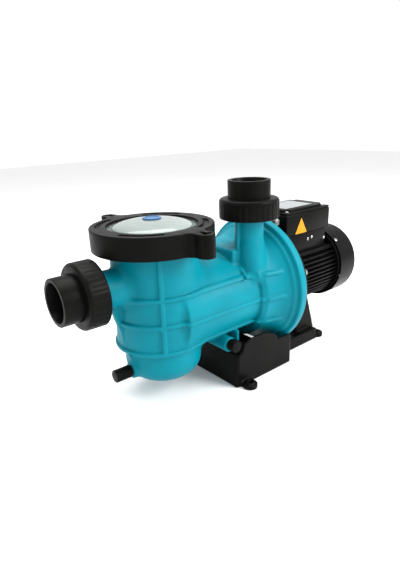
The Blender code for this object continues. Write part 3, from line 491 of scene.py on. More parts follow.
def clear_plastic():
    made, tree, shader, where = surface("clear_plastic", (0.40, 0.46, 0.44), 0.12,
                                        transmission=0.55, ior=1.49, shine=0.25)
    tint(tree, noise(tree, where, 9.0), shader, (0.27, 0.33, 0.31), (0.40, 0.46, 0.44))
    bump(tree, noise(tree, where, 30.0), shader, 0.05, 0.0008)
    return made


def plated_steel():
    made, tree, shader, where = surface("plated_steel", (0.30, 0.30, 0.29), 0.34, metallic=1.0)
    tree.links.new(spread(tree, noise(tree, where, 350.0), 0.26, 0.46), shader.inputs["Roughness"])
    tint(tree, noise(tree, where, 90.0), shader, (0.20, 0.20, 0.195), (0.36, 0.36, 0.35))
    return made


def copper_wire():
    made, tree, shader, where = surface("copper_wire", (0.55, 0.24, 0.10), 0.4, metallic=0.8)
    wave = node(tree, "ShaderNodeTexWave", Scale=420.0, Distortion=2.0)
    tree.links.new(where, wave.inputs["Vector"])
    bump(tree, wave.outputs["Fac"], shader, 0.6, 0.0006)
    return made


def core_laminations():
    made, tree, shader, where = surface("core_laminations", (0.28, 0.28, 0.29), 0.45, metallic=0.9)
    wave = node(tree, "ShaderNodeTexWave", Scale=300.0)
    tree.links.new(where, wave.inputs["Vector"])
    bump(tree, wave.outputs["Fac"], shader, 0.4, 0.0004)
    return made


def satin_label():
    """Plain satin silver plate, brushed along its length."""
    made, tree, shader, where = surface("satin_label", (0.24, 0.25, 0.25), 0.36, shine=0.15)
    stretch = node(tree, "ShaderNodeMapping")
    stretch.inputs["Scale"].default_value = (6, 900, 900)
    tree.links.new(where, stretch.inputs["Vector"])
    grain = noise(tree, stretch.outputs["Vector"], 1.0)
    tree.links.new(spread(tree, grain, 0.26, 0.44), shader.inputs["Roughness"])
    tint(tree, grain, shader, (0.19, 0.20, 0.20), (0.25, 0.26, 0.26))
    return made


MATERIALS = {
    "body_teal": moulded("teal_plastic", (0.0, 0.160, 0.208), (0.0, 0.198, 0.255), 0.42, 0.22, 0.09),
    "black_plastic": moulded("black_plastic", (0.002, 0.002, 0.0018), (0.004, 0.004, 0.0036), 0.36, 0.35,
                             0.05),
    "motor_black": moulded("black_paint", (0.002, 0.002, 0.002), (0.004, 0.004, 0.004), 0.30, 0.45, 0.06),
    "lid_clear": clear_plastic(),
    "badge_blue": moulded("blue_plastic", (0.012, 0.075, 0.19), (0.02, 0.11, 0.25), 0.28, 0.1, 0.2),
    "rubber": moulded("black_rubber", (0.006, 0.006, 0.006), (0.012, 0.012, 0.012), 0.75, 0.3),
    "steel": plated_steel(),
    "silver_plate": satin_label(),
    "yellow": moulded("yellow_label", (0.46, 0.205, 0.006), (0.52, 0.235, 0.008), 0.42, 0.1, 0.1),
    "grey_plastic": moulded("grey_plastic", (0.38, 0.39, 0.39), (0.48, 0.49, 0.49), 0.42, 0.2),
    "copper": copper_wire(),
    "core_steel": core_laminations(),
    "ceramic": moulded("ground_ceramic", (0.76, 0.74, 0.70), (0.86, 0.84, 0.80), 0.30, 0.1),
    "basket_white": moulded("white_plastic", (0.38, 0.39, 0.38), (0.45, 0.46, 0.45), 0.45, 0.2),
}


def fit(piece, body, slot, *replaced):
    """Finish a piece: its material, the body it rides on and the nodes it stands for."""
    piece.data.materials.clear()
    piece.data.materials.append(MATERIALS[slot])
    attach(piece, body)
    if replaced:
        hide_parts(*replaced)
    return piece


# ---------------------------------------------------------------- pump body

def pot_and_passage(points):
    """Strainer pot, oval passage and volute drum, before ribs and necks."""
    pot = rod(points, (POT_X, 0, 99), (POT_X, 0, 296), POT_RADIUS, 6)
    cup = rod(points, (CUP_X, 0, 35), (CUP_X, 0, 190), CUP_RADIUS, 34)
    passage = oval(points, TUNNEL_HALF_WIDTH, TUNNEL_HALF_HEIGHT, POT_X + 4, DRUM_STEP_X + 14, 2)
    drum = turned(points, [(DRUM_STEP_X, DRUM_RADIUS - 7), (DRUM_STEP_X + 9, DRUM_RADIUS),
                           (FLANGE_X - 18, DRUM_RADIUS + 7)])
    drum = soft_max(drum, points[..., 2] - SHELF_Z, 3)
    shelf = slab(points, (DRUM_FRONT_X, -SHELF_HALF_WIDTH, 170),
                 (DISCHARGE_X + 20, SHELF_HALF_WIDTH, SHELF_Z), 5)
    shell = soft_min(soft_min(pot, cup, 6), passage, 14)
    return soft_min(soft_min(shell, drum, 4), shelf, 5)


def flare(points):
    """Dished rim that carries the drum out to the flange, with its ridge line."""
    dish = turned(points, [(DRUM_STEP_X + 12, 92), (DISCHARGE_X + 14, DRUM_RADIUS - 4),
                           (FLANGE_X - 22, DRUM_RADIUS + 8), (FLANGE_X - 10, DRUM_RADIUS + 17),
                           (FLANGE_X - 6, 124), (FLANGE_X + 4, 128)])
    rim = rod(points, (FLANGE_X, 0, SHAFT_Z), (FLANGE_BACK_X, 0, SHAFT_Z), FLANGE_RADIUS, 4)
    return soft_min(dish, rim, 4)


def ribs(points, shell):
    """Level ribs that follow the walls, and the upright rib on the pot's front."""
    x, y, z = points[..., 0], points[..., 1], points[..., 2]
    found = np.full(x.shape, 1e3)
    proud = shell - RIB_PROUD
    for height in RIB_HEIGHTS:
        level = soft_max(proud, np.abs(z - height) - RIB_HALF_WIDTH, 2.0)
        level = np.maximum(level, x - 62)
        found = np.minimum(found, level)
    for side in (-1, 1):
        angle = math.radians(118.5) * side
        across = (x - POT_X) * math.sin(angle) - y * math.cos(angle)
        outwards = (x - POT_X) * math.cos(angle) + y * math.sin(angle)
        upright = soft_max(proud, np.abs(across) - RIB_HALF_WIDTH, 2.0)
        upright = np.maximum(upright, np.maximum(104 - z, z - 290))
        found = np.minimum(found, np.maximum(upright, 40 - outwards))
    return found


def necks(points):
    """Suction and discharge necks with the collars that their nuts screw onto."""
    suction_face = SUCTION_RIM_X + UNION_BACK
    discharge_face = DISCHARGE_TOP_Z - UNION_BACK
    suction = rod(points, (suction_face + 4, 0, SUCTION_Z), (POT_X - 40, 0, SUCTION_Z),
                  SUCTION_NECK_RADIUS)
    suction_collar = rod(points, (suction_face, 0, SUCTION_Z),
                         (suction_face + UNION_COLLAR_LENGTH, 0, SUCTION_Z), UNION_COLLAR_RADIUS, 0.8)
    discharge = rod(points, (DISCHARGE_X, DISCHARGE_Y, 225),
                    (DISCHARGE_X, DISCHARGE_Y, discharge_face - 4), DISCHARGE_NECK_RADIUS)
    root = rod(points, (DISCHARGE_X - 4, DISCHARGE_Y - 15, 182), (DISCHARGE_X, DISCHARGE_Y, 262),
               DISCHARGE_NECK_RADIUS, 12)
    discharge_collar = rod(points, (DISCHARGE_X, DISCHARGE_Y, discharge_face - UNION_COLLAR_LENGTH),
                           (DISCHARGE_X, DISCHARGE_Y, discharge_face), UNION_COLLAR_RADIUS, 0.8)
    return suction, suction_collar, soft_min(discharge, root, 8), discharge_collar


SUCTION_WEB = [(-250, 205), (-248, 172), (-238, 137), (-233, 100), (-221, 76), (-214, 47),
               (-170, 47), (-170, 205)]


def details(points):
    """Webs, fins and drain bosses."""
    web = plate(points, SUCTION_WEB, 5.5, 2)
    fin = slab(points, (-10, DISCHARGE_Y - 3, 214), (DISCHARGE_X, DISCHARGE_Y + 3, 306), 1.5)
    diagonal = rod(points, (-9, DISCHARGE_Y - 2, 218), (-17, DISCHARGE_Y - 36, 201), 3, 2)
    pot_boss = rod(points, (-225, 0, 59), (POT_X - 45, 0, 59), 15, 1.5)
    tunnel_boss = rod(points, (TUNNEL_DRAIN[0], -25, 84), (TUNNEL_DRAIN[0], -86, 84), 14, 1.2)
    small_web = slab(points, (-41, -82, 66), (-35, -30, 104), 2)
    return web, fin, diagonal, pot_boss, tunnel_boss, small_web


def body_outside(points):
    shell = pot_and_passage(points)
    ribbed = soft_min(soft_min(shell, flare(points), 6), ribs(points, shell), 1.6)
    suction, suction_collar, discharge, discharge_collar = necks(points)
    collar = rod(points, (POT_X, 0, LID_TOP_Z - RING_HEIGHT + 2), (POT_X, 0, COLLAR_TOP_Z),
                 COLLAR_RADIUS, 1.2)
    web, fin, diagonal, pot_boss, tunnel_boss, small_web = details(points)
    total = soft_min(ribbed, suction, 12)
    total = soft_min(total, discharge, 7)
    total = soft_min(total, web, 3)
    for piece in (collar, suction_collar, discharge_collar, fin, diagonal, small_web):
        total = soft_min(total, piece, 2.5)
    total = soft_min(total, pot_boss, 5)
    return soft_min(total, tunnel_boss, 5)


def body_hollows(points):
    inner = POT_RADIUS - POT_WALL
    mouth = rod(points, (POT_X, 0, COLLAR_TOP_Z - 12), (POT_X, 0, COLLAR_TOP_Z + 20), 83, 0.5)
    pot = rod(points, (POT_X, 0, 102), (POT_X, 0, COLLAR_TOP_Z + 20), inner, 4)
    cup = rod(points, (CUP_X, 0, 41), (CUP_X, 0, 180), CUP_RADIUS - POT_WALL, 32)
    passage = oval(points, TUNNEL_HALF_WIDTH - POT_WALL, TUNNEL_HALF_HEIGHT - POT_WALL, POT_X + 20, -21, 4)
    eye = rod(points, (-32, 0, SHAFT_Z), (0, 0, SHAFT_Z), 33, 0.5)
    intake = rod(points, (-12, 0, SHAFT_Z), (DRUM_STEP_X + 10, 0, SHAFT_Z), INTAKE_RADIUS, 1)
    chamber = rod(points, (DRUM_STEP_X + 7, 0, SHAFT_Z), (FLANGE_BACK_X + 20, 0, SHAFT_Z), CHAMBER_RADIUS, 2)
    capped = soft_max(chamber, points[..., 2] - SHELF_Z + 6, 2)
    chamber = np.where(points[..., 0] < FLANGE_X - 16, capped, chamber)
    suction = rod(points, (SUCTION_RIM_X + 40, 0, SUCTION_Z), (POT_X - 50, 0, SUCTION_Z), 25, 0.5)
    outlet = rod(points, (DISCHARGE_X, DISCHARGE_Y, 203), (DISCHARGE_X, DISCHARGE_Y, 350),
                 NECK_BORE_RADIUS, 0.5)
    pot_drain = rod(points, (-250, 0, 59), (-168, 0, 59), DRAIN_BORE, 0.4)
    x, y, z = TUNNEL_DRAIN
    tunnel_drain = rod(points, (x, -5, z), (x, y - 20, z), DRAIN_BORE, 0.4)
    return [mouth, pot, cup, passage, eye, intake, chamber, suction, outlet, pot_drain, tunnel_drain]


def seal_grooves(points):
    """Grooves for the O-rings in the two union collars."""
    found = []
    faces = (((SUCTION_RIM_X, 0, SUCTION_Z), TOWARDS_MOTOR),
             ((DISCHARGE_X, DISCHARGE_Y, DISCHARGE_TOP_Z), DOWN))
    for rim, inwards in faces:
        start = np.array(rim) + np.array(inwards) * (TAIL_LENGTH - 1)
        end = np.array(rim) + np.array(inwards) * (TAIL_LENGTH + 4.7)
        disc = rod(points, start, end, 36.2, 0.2)
        core = rod(points, start - 9 * np.array(inwards), end + 9 * np.array(inwards), 29.8, 0.2)
        found.append(np.maximum(disc, -core))
    return found


def body_shape(points):
    hollows = body_hollows(points)
    return hollowed(hollowed(body_outside(points), hollows), seal_grooves(points), 0.4)


def pump_body():
    piece = skin("pump_body_moulding", body_shape, (-300, -139, 30), (100, 139, 325), 2.0)
    return fit(piece, "pump", "body_teal", "pump_body")


# ---------------------------------------------------------------- lock ring

SLOT_RADIUS = 91.5
SLOT_HALF_WIDTH = 4.8
SLOT_HALF_ANGLE = math.radians(23)
LUG_REACH = 126.7
LUG_RADIUS = 14
LUG_TURN = math.radians(6)


def ring_slots(points):
    """Four shallow arc slots in the ring's face."""
    x, y, z = points[..., 0] - POT_X, points[..., 1], points[..., 2]
    reach = np.hypot(x, y)
    quarter = np.mod(np.arctan2(y, x), math.pi / 2) - math.pi / 4
    across = np.abs(reach - SLOT_RADIUS) - SLOT_HALF_WIDTH
    along = (np.abs(quarter) - SLOT_HALF_ANGLE) * reach
    return rounded(rounded(across, along, 3), LID_TOP_Z - 3.6 - z, 0.4)


def lug_frame(points, quarter):
    """Points seen from one lug: outwards, across and up from the pot's axis."""
    angle = quarter * math.pi / 2 + LUG_TURN
    x, y = points[..., 0] - POT_X, points[..., 1]
    return np.stack([x * math.cos(angle) + y * math.sin(angle),
                     y * math.cos(angle) - x * math.sin(angle), points[..., 2]], -1)


def lock_ring_shape(points):
    low = LID_TOP_Z - RING_HEIGHT
    top = LID_TOP_Z
    total = rod(points, (POT_X, 0, low), (POT_X, 0, top), RING_RADIUS, 2.2)
    hollows = []
    for quarter in (1, 3):
        seen = lug_frame(points, quarter)
        lug = rod(seen, (LUG_REACH, 0, low), (LUG_REACH, 0, top), LUG_RADIUS, 1.8)
        neck = slab(seen, (LUG_REACH - 34, -LUG_RADIUS, low), (LUG_REACH - 2, LUG_RADIUS, top), 1.8)
        total = soft_min(total, soft_min(lug, neck, 2), 12)
        hollows.append(slab(seen, (LUG_REACH - 2, -9, top - 5), (LUG_REACH + 6, 9, top + 9), 1.0))
        hollows.append(slab(seen, (LUG_REACH - 15, -3.5, top - 5), (LUG_REACH + 1, 3.5, top + 9), 1.0))
    total = soft_max(total, points[..., 2] - top, 1.5)
    total = soft_max(total, low - points[..., 2], 1.5)
    window = rod(points, (POT_X, 0, low), (POT_X, 0, top + 30), RING_WINDOW_RADIUS, 1)
    collar = rod(points, (POT_X, 0, low - 20), (POT_X, 0, top - 4.3), COLLAR_RADIUS + 1, 0.6)
    return hollowed(total, [window, collar, ring_slots(points), *hollows], 1.0)


def lock_ring():
    piece = skin("lock_ring_moulding", lock_ring_shape, (-268, -144, 272), (-48, 144, 318), 1.4)
    return fit(piece, "ring_body", "black_plastic", "lock_ring")


# ---------------------------------------------------------- lid and basket

def strainer_lid():
    seat = COLLAR_TOP_Z + GAP
    dome = [(68 * math.sin(math.radians(a)), LID_TOP_Z - 4 + 12 * (math.cos(math.radians(a)) ** 1.3))
            for a in range(0, 91, 6)]
    under = [(radius * 0.965, height - 4.6) for radius, height in reversed(dome)]
    profile = dome + [(68.5, LID_TOP_Z - 8), (75, LID_TOP_Z - 8), (76.2, LID_TOP_Z - 5)]
    profile += arc(88.2, LID_TOP_Z - 5.8, 0.8, 90, 0)
    profile += [(89, seat), (81.5, seat), (81.5, seat - 1.5), (79.4, seat - 1.5), (79.4, seat - 6.5),
                (81.5, seat - 6.5), (81.5, seat - 9), (77, seat - 9), (77, LID_TOP_Z - 12)]
    profile += under
    fit(lathe("lid_dome", profile, POT, UP, 128), "lid_body", "lid_clear", "lid")
    # Painted shade: this thin black ring in the rubber material stands in for the shadow line in the gap
    # between the dome and the lock ring's window; it is not a real gasket.
    edge = [(75.4, LID_TOP_Z - 3.6), (77.4, LID_TOP_Z - 3.6), (77.4, LID_TOP_Z - 4.9),
            (75.4, LID_TOP_Z - 4.9)]
    fit(lathe("lid_painted_shadow_ring", edge, POT, UP, 128), "lid_body", "rubber")


def lid_badge():
    """Plain round badge: a raised rim round a flat centre."""
    top = LID_TOP_Z + 10
    rim = [(11.5, top)] + arc(15.2, top - 0.8, 0.8, 90, 0) + [(16, top - 1.7), (11.5, top - 1.7)]
    fit(lathe("badge_rim", rim, POT, UP, 96), "lid_body", "badge_blue", "lid_badge")
    centre = [(0, top - 0.5), (11.3, top - 0.5), (11.3, top - 1.6), (0, top - 1.6)]
    fit(lathe("badge_centre", centre, POT, UP, 96), "lid_body", "badge_blue")


def basket():
    """Strainer basket with long slots, a side inlet and a lifting bar."""
    rim = COLLAR_TOP_Z - 9
    profile = arc(75.2, rim - 0.8, 0.8, 90, 0) + [(76, rim - 2.5), (66, rim - 2.5), (58, 80)]
    profile += [(0, 80), (0, 83), (55.5, 83), (63.5, rim)]
    bucket = lathe("basket_bucket", profile, POT, UP, 96)
    bar = block("bar", (POT_X - 5, -66, rim - 6), (POT_X + 5, 66, rim - 0.5), 1.5)
    combine(bucket, [bar], "UNION")
    cutters = [lathe("inlet", [(0, 90), (27, 90), (27, 40), (0, 40)], (POT_X, 0, SUCTION_Z),
                     TOWARDS_SUCTION, 48)]
    for i in range(24):
        slot = block(f"slot {i}", (40, -2.2, 92), (80, 2.2, 182), 1.2, 2)
        slot.data.transform(Matrix.Translation((POT_X * MM, 0, 0)) @
                            Matrix.Rotation(math.radians(15 * i + 7.5), 4, "Z"))
        cutters.append(slot)
    combine(bucket, cutters, "DIFFERENCE")
    fit(bucket, "basket_body", "basket_white", "basket")


# ------------------------------------------------------------------- unions

GRIPS = 30


def grip(radius, height, angle):
    """Shallow axial grips round the nut's middle band."""
    if radius < NUT_RADIUS - 1.0 or not NUT_START + 8.5 < height < NUT_END - 3:
        return radius
    phase = (angle * GRIPS / (2 * math.pi)) % 1
    return radius - (0.8 if phase > 0.7 else 0.0)


def union(side, rim, inwards, tail_body, nut_body):
    """Pipe socket and its ribbed nut; heights run inwards from the socket's rim."""
    tail = arc(SOCKET_RADIUS - 1, 1, 1, 270, 360) + [(SOCKET_RADIUS, TAIL_LENGTH - 8), (44, TAIL_LENGTH - 8),
                                                    (44, TAIL_LENGTH), (26, TAIL_LENGTH),
                                                    (26, TAIL_LENGTH - 14), (PIPE_RADIUS, TAIL_LENGTH - 14),
                                                    (PIPE_RADIUS, 1.5), (PIPE_RADIUS + 1, 0)]
    fit(lathe(f"{side}_socket", tail, rim, inwards, 128), tail_body, "black_plastic", f"{side}_tail")
    shoulder = arc(NUT_RADIUS - 6, NUT_START + 6.4, 6, 262, 356, 8)
    nut = [(SOCKET_RADIUS + 0.5, NUT_START), (46, NUT_START)] + shoulder
    nut += [(NUT_RADIUS, NUT_START + 8.3), (NUT_RADIUS, NUT_START + 8.7), (NUT_RADIUS, NUT_END - 3.3),
            (NUT_RADIUS, NUT_END - 2.9)]
    nut += arc(NUT_RADIUS - 1.6, NUT_END - 1.6, 1.6, 0, 90)
    nut += [(45, NUT_END), (45, NUT_START + NUT_LIP), (SOCKET_RADIUS + 0.5, NUT_START + NUT_LIP)]
    made = lathe(f"{side}_union_nut", nut, rim, inwards, GRIPS * 8, grip)
    fit(made, nut_body, "black_plastic", f"{side}_nut")


def drain_plug(name, mouth, outwards, body, length):
    """Screwed plug: a round head with shallow flutes."""
    profile = [(0, length + 3)] + arc(9.9, length + 1.4, 1.6, 90, 0)
    profile += [(11.5, 8.6), (11.5, 8.2), (11.5, 4)] + arc(10.5, 4, 1, 0, -90)
    profile += [(6.5, 3), (6.5, -8), (5.5, -9), (0, -9)]

    def flutes(radius, height, angle):
        if radius < 11 or height < 8.4:
            return radius
        return radius - 0.7 * (0.5 + 0.5 * math.cos(angle * 12)) ** 3

    fit(lathe(f"{name}_knob", profile, mouth, outwards, 96, flutes), body, "black_plastic", f"{name}_plug")


# -------------------------------------------------------------------- motor

BOLT_CIRCLE = 115
BOLT_FACE_X = 112


def on_circle(radius, degrees, x=0.0):
    angle = math.radians(degrees)
    return (x, radius * math.cos(angle), SHAFT_Z + radius * math.sin(angle))


def seal_plate_and_adaptor():
    plate_profile = [(70, 104)] + arc(123, 103, 1, 90, 0) + arc(123, 97.3, 1, 0, -90)
    plate_profile += [(93.5, 96.3), (93.5, 72), (70, 66.4), (24, 66.4), (24, 62), (18.4, 62),
                      (18.4, 76.4), (12, 76.4), (12, 84), (60, 84)]
    plate_piece = lathe("seal_plate_disc", plate_profile, SHAFT, TOWARDS_MOTOR, 128)
    shield_profile = [(65, 133.7), (65, 120)] + arc(73, 120, 8, 180, 250, 5) + [(82, 112)]
    shield_profile += arc(121.5, 110.5, 1.5, 90, 0) + [(123, 105.3), (122, 104.3), (72, 104.3), (60, 112),
                                                      (26, 112), (26, 104), (12, 104), (12, 108),
                                                      (21.3, 108), (21.3, 124), (27, 124), (50, 120),
                                                      (54, 133.7)]
    shield = lathe("motor_front_shield", shield_profile, SHAFT, TOWARDS_MOTOR, 128)
    for piece, start, end in ((plate_piece, 90, 110), (shield, 100, 120)):
        holes = [lathe(f"hole {i}", [(0, end), (4.2, end), (4.2, start), (0, start)],
                       on_circle(BOLT_CIRCLE, 43 + 60 * i), TOWARDS_MOTOR, 24) for i in range(6)]
        combine(piece, holes, "DIFFERENCE")
    fit(plate_piece, "pump", "black_plastic", "seal_plate")
    fit(shield, "pump", "motor_black", "motor_adaptor")


def flange_bolts():
    """Hex bolts with a chamfered head over a washer face."""
    face = BOLT_FACE_X + GAP
    for i in range(6):
        where = on_circle(BOLT_CIRCLE, 43 + 60 * i)
        head = lathe(f"flange_bolt_head_{i + 1}",
                     [(0, face + 6), (5.6, face + 6), (7, face + 5.2), (7, face + 0.8), (6.4, face + 0.4),
                      (3.8, face), (3.8, 82.5), (0, 82)], where, TOWARDS_MOTOR, 6)
        head.data.shade_flat()
        fit(head, "pump", "steel", f"flange_bolt_{i + 1}")


def motor_frame():
    """Cast frame: level fins round a barrel and a flat foot for the box."""
    barrel = lathe("motor_barrel", [(54, MOTOR_END_X), (BARREL_RADIUS, MOTOR_END_X),
                                    (BARREL_RADIUS, MOTOR_START_X),
                                    (54, MOTOR_START_X)], SHAFT, TOWARDS_MOTOR, 96)
    fins = []
    for step in range(-6, 6):
        height = SHAFT_Z + step * FIN_PITCH
        tip = math.sqrt(FIN_RADIUS ** 2 - (step * FIN_PITCH) ** 2)
        fins.append(block(f"fin {step}", (MOTOR_START_X + 1, -tip, height - 1.5),
                          (MOTOR_END_X - 1, tip, height + 1.5), 0.8, 2))
    foot = block("foot", (MOTOR_START_X + 2, -BOX_FOOT_HALF_WIDTH, SHAFT_Z + 43),
                 (MOTOR_END_X - 12, BOX_FOOT_HALF_WIDTH, BOX_FLOOR_Z - GAP), 2)
    shelf = block("foot shelf", (MOTOR_START_X + 1, -56, SHAFT_Z + 46),
                  (MOTOR_END_X - 2, 56, SHAFT_Z + 50), 1)
    combine(barrel, [*fins, foot, shelf], "UNION")
    bore = lathe("bore", [(0, 300), (BARREL_BORE, 300), (BARREL_BORE, 120), (0, 120)], SHAFT,
                 TOWARDS_MOTOR, 96)
    wires = lathe("wires", [(0, 260), (12, 260), (12, 190), (0, 190)], (180, 0, 0), UP, 32)
    combine(barrel, [bore, wires], "DIFFERENCE")
    fit(barrel, "pump", "motor_black", "motor_frame")


def foot_screws():
    """Small screws on the flat side below the connection box."""
    for i, (x, z) in enumerate(((206, 229), (219, 231), (262, 222))):
        profile = [(0, 1.6), (2.2, 1.5), (3.4, 0.6), (3.4, 0), (0, 0)]
        screw = lathe(f"frame_screw_{i + 1}", profile, (x, -BOX_FOOT_HALF_WIDTH, z), FRONT_SIDE, 24)
        fit(screw, "pump", "steel")


def fan_cover():
    end = FAN_COVER_END_X
    outer = FAN_COVER_RADIUS
    profile = [(0, end)] + arc(outer - 10, end - 10, 10, 90, 0, 10)
    profile += [(outer, FAN_COVER_START_X), (outer - 2, FAN_COVER_START_X)]
    profile += list(reversed(arc(outer - 10, end - 10, 8, 90, 0, 10))) + [(0, end - 2)]
    cover = lathe("fan_cowl", profile, SHAFT, TOWARDS_MOTOR, 128)
    slots = []
    for level in range(-3, 4):
        reach = math.sqrt((outer - 22) ** 2 - (level * 14) ** 2)
        for side in (-1, 1):
            near, far = sorted((side * 6, side * reach))
            slots.append(block(f"grille {level} {side}", (end - 8, near, SHAFT_Z + level * 14 - 3.5),
                               (end + 8, far, SHAFT_Z + level * 14 + 3.5), 1.5, 2))
    combine(cover, slots, "DIFFERENCE")
    fit(cover, "pump", "motor_black", "fan_cover")
    for i in range(4):
        angle = math.radians(45 + 90 * i)
        outwards = (0, math.cos(angle), math.sin(angle))
        head = [(0, outer + 2.3), (2.4, outer + 2.2), (4.4, outer + 1), (4.5, outer + GAP), (0, outer + GAP)]
        screw = lathe(f"cowl_screw_{i + 1}", head, (FAN_COVER_START_X + 7, 0, SHAFT_Z), outwards, 24)
        fit(screw, "pump", "steel", f"fan_cover_screw_{i + 1}")


def terminal_box():
    """Connection box: body with a rim line, and a lid with a raised panel."""
    x0, x1, y = BOX_START_X, BOX_END_X, BOX_HALF_WIDTH
    box = block("junction_box", (x0, -y, BOX_FLOOR_Z), (x1, y, BOX_SEAM_Z), 2.5)
    hollow = block("hollow", (x0 + 4, 4 - y, BOX_FLOOR_Z + 4), (x1 - 4, y - 4, BOX_SEAM_Z + 5), 0)
    wires = lathe("wires", [(0, 254), (11, 254), (11, 241), (0, 241)], (180, 0, 0), UP, 32)
    entry = lathe("entry", [(0, 5 - x0), (6, 5 - x0), (6, -x0 - 10), (0, -x0 - 10)], GLAND,
                  TOWARDS_SUCTION, 32)
    combine(box, [hollow, wires, entry], "DIFFERENCE")
    fit(box, "pump", "black_plastic", "terminal_box")
    lid = block("junction_box_lid", (x0 + 1, 1 - y, BOX_SEAM_Z + GAP), (x1 - 1, y - 1, BOX_LEDGE_Z), 1.5)
    panels = [block(f"panel {inset}", (x0 + inset, -half, BOX_SEAM_Z + 2), (x1 - inset, half, BOX_TOP_Z), 2)
              for inset, half in ((8, 34), (20, 44))]
    combine(lid, panels, "UNION")
    under = block("under", (x0 + 12, 12 - y, BOX_SEAM_Z - 5), (x1 - 12, y - 12, BOX_SEAM_Z + 2), 0)
    combine(lid, [under], "DIFFERENCE")
    fit(lid, "pump", "black_plastic", "terminal_box_lid")
    label = block("silver_label", (146, -32, BOX_TOP_Z + GAP), (232, 32, BOX_TOP_Z + 1.2), 0.25, 2)
    fit(label, "pump", "silver_plate", "rating_plate")
    for i, (sx, sy) in enumerate(((141, -41), (257, -41), (141, 41), (257, 41))):
        head = [(0, BOX_LEDGE_Z + 2), (2.4, BOX_LEDGE_Z + 1.9), (3.9, BOX_LEDGE_Z + 1),
                (4, BOX_LEDGE_Z + GAP), (0, BOX_LEDGE_Z + GAP)]
        fit(lathe(f"lid_screw_{i + 1}", head, (sx, sy, 0), UP, 24), "pump", "steel", f"box_lid_screw_{i + 1}")


def yellow_triangle():
    """Plain yellow three-sided label with rounded corners and a dark edge."""
    for name, reach, low, high, slot in (("label_edge", 23, 0.3, 0.8, "black_plastic"),
                                         ("label_face", 21.4, 0.8, 1.15, "yellow")):
        shape = bmesh.new()
        corners = [math.radians(90 + 120 * i) for i in range(3)]
        ring = [shape.verts.new(((TRIANGLE_X + reach * math.cos(a)) * MM, -(BOX_HALF_WIDTH + low) * MM,
                                 (TRIANGLE_Z + reach * math.sin(a)) * MM)) for a in corners]
        base = shape.faces.new(ring)
        grown = bmesh.ops.extrude_face_region(shape, geom=[base])
        moved = [v for v in grown["geom"] if isinstance(v, bmesh.types.BMVert)]
        bmesh.ops.translate(shape, vec=(0, -(high - low) * MM, 0), verts=moved)
        upright = [e for e in shape.edges if abs((e.verts[0].co - e.verts[1].co).y) > 1e-5]
        bmesh.ops.bevel(shape, geom=upright, offset=1.5 * MM, segments=4, profile=0.5, affect="EDGES")
        bmesh.ops.recalc_face_normals(shape, faces=shape.faces)
        piece = finish_mesh(name, shape)
        replaced = ["warning_plate"] if slot == "yellow" else []
        fit(piece, "pump", slot, *replaced)


def cable_gland():
    """Short gland in the connection box's front face."""
    face = -BOX_START_X
    body = [(10, face + 4), (10, face + GAP), (5, face + GAP), (5, face - 9), (3.6, face - 9),
            (3.6, face + 4)]
    hexagon = lathe("gland_body", body, GLAND, TOWARDS_SUCTION, 6)
    hexagon.data.shade_flat()
    fit(hexagon, "pump", "grey_plastic", "cable_gland")
    cap = [(4.5, face + 8.7)] + arc(7.5, face + 6.7, 2, 90, 0, 6) + [(9.5, face + 4.3), (4.5, face + 4.3)]

    def ridges(radius, height, angle):
        return radius - (0.5 if radius > 9 and math.cos(angle * 16) > 0.3 else 0)

    fit(lathe("gland_cap", cap, GLAND, TOWARDS_SUCTION, 96, ridges), "pump", "grey_plastic", "gland_nut")


# --------------------------------------------------------------------- base

CRADLE = [(-63, 0), (88, 0), (88, 64), (56, 66), (36, 82), (14, 90), (-26, 90), (-43, 82), (-49, 69),
          (-58, 64)]
CRADLE_HOLLOW = [(-59.5, -20), (70, -20), (70, 120), (-37, 120), (-37, 82), (-42, 68), (-53, 60)]
SADDLE = [(160, 0), (230, 0), (196, 110), (164, 110)]
SADDLE_HOLLOW = [(163, -20), (225, -20), (204, 66), (169, 66)]
FEET = ((-41, 116), (-41, -116), (228, 64), (228, -64))
CRADLE_HALF_WIDTH = 104
SADDLE_HALF_WIDTH = 58
RAIL_HALF_WIDTH = 74
RAIL_TOP_Z = 26
BASE_WALL = 5


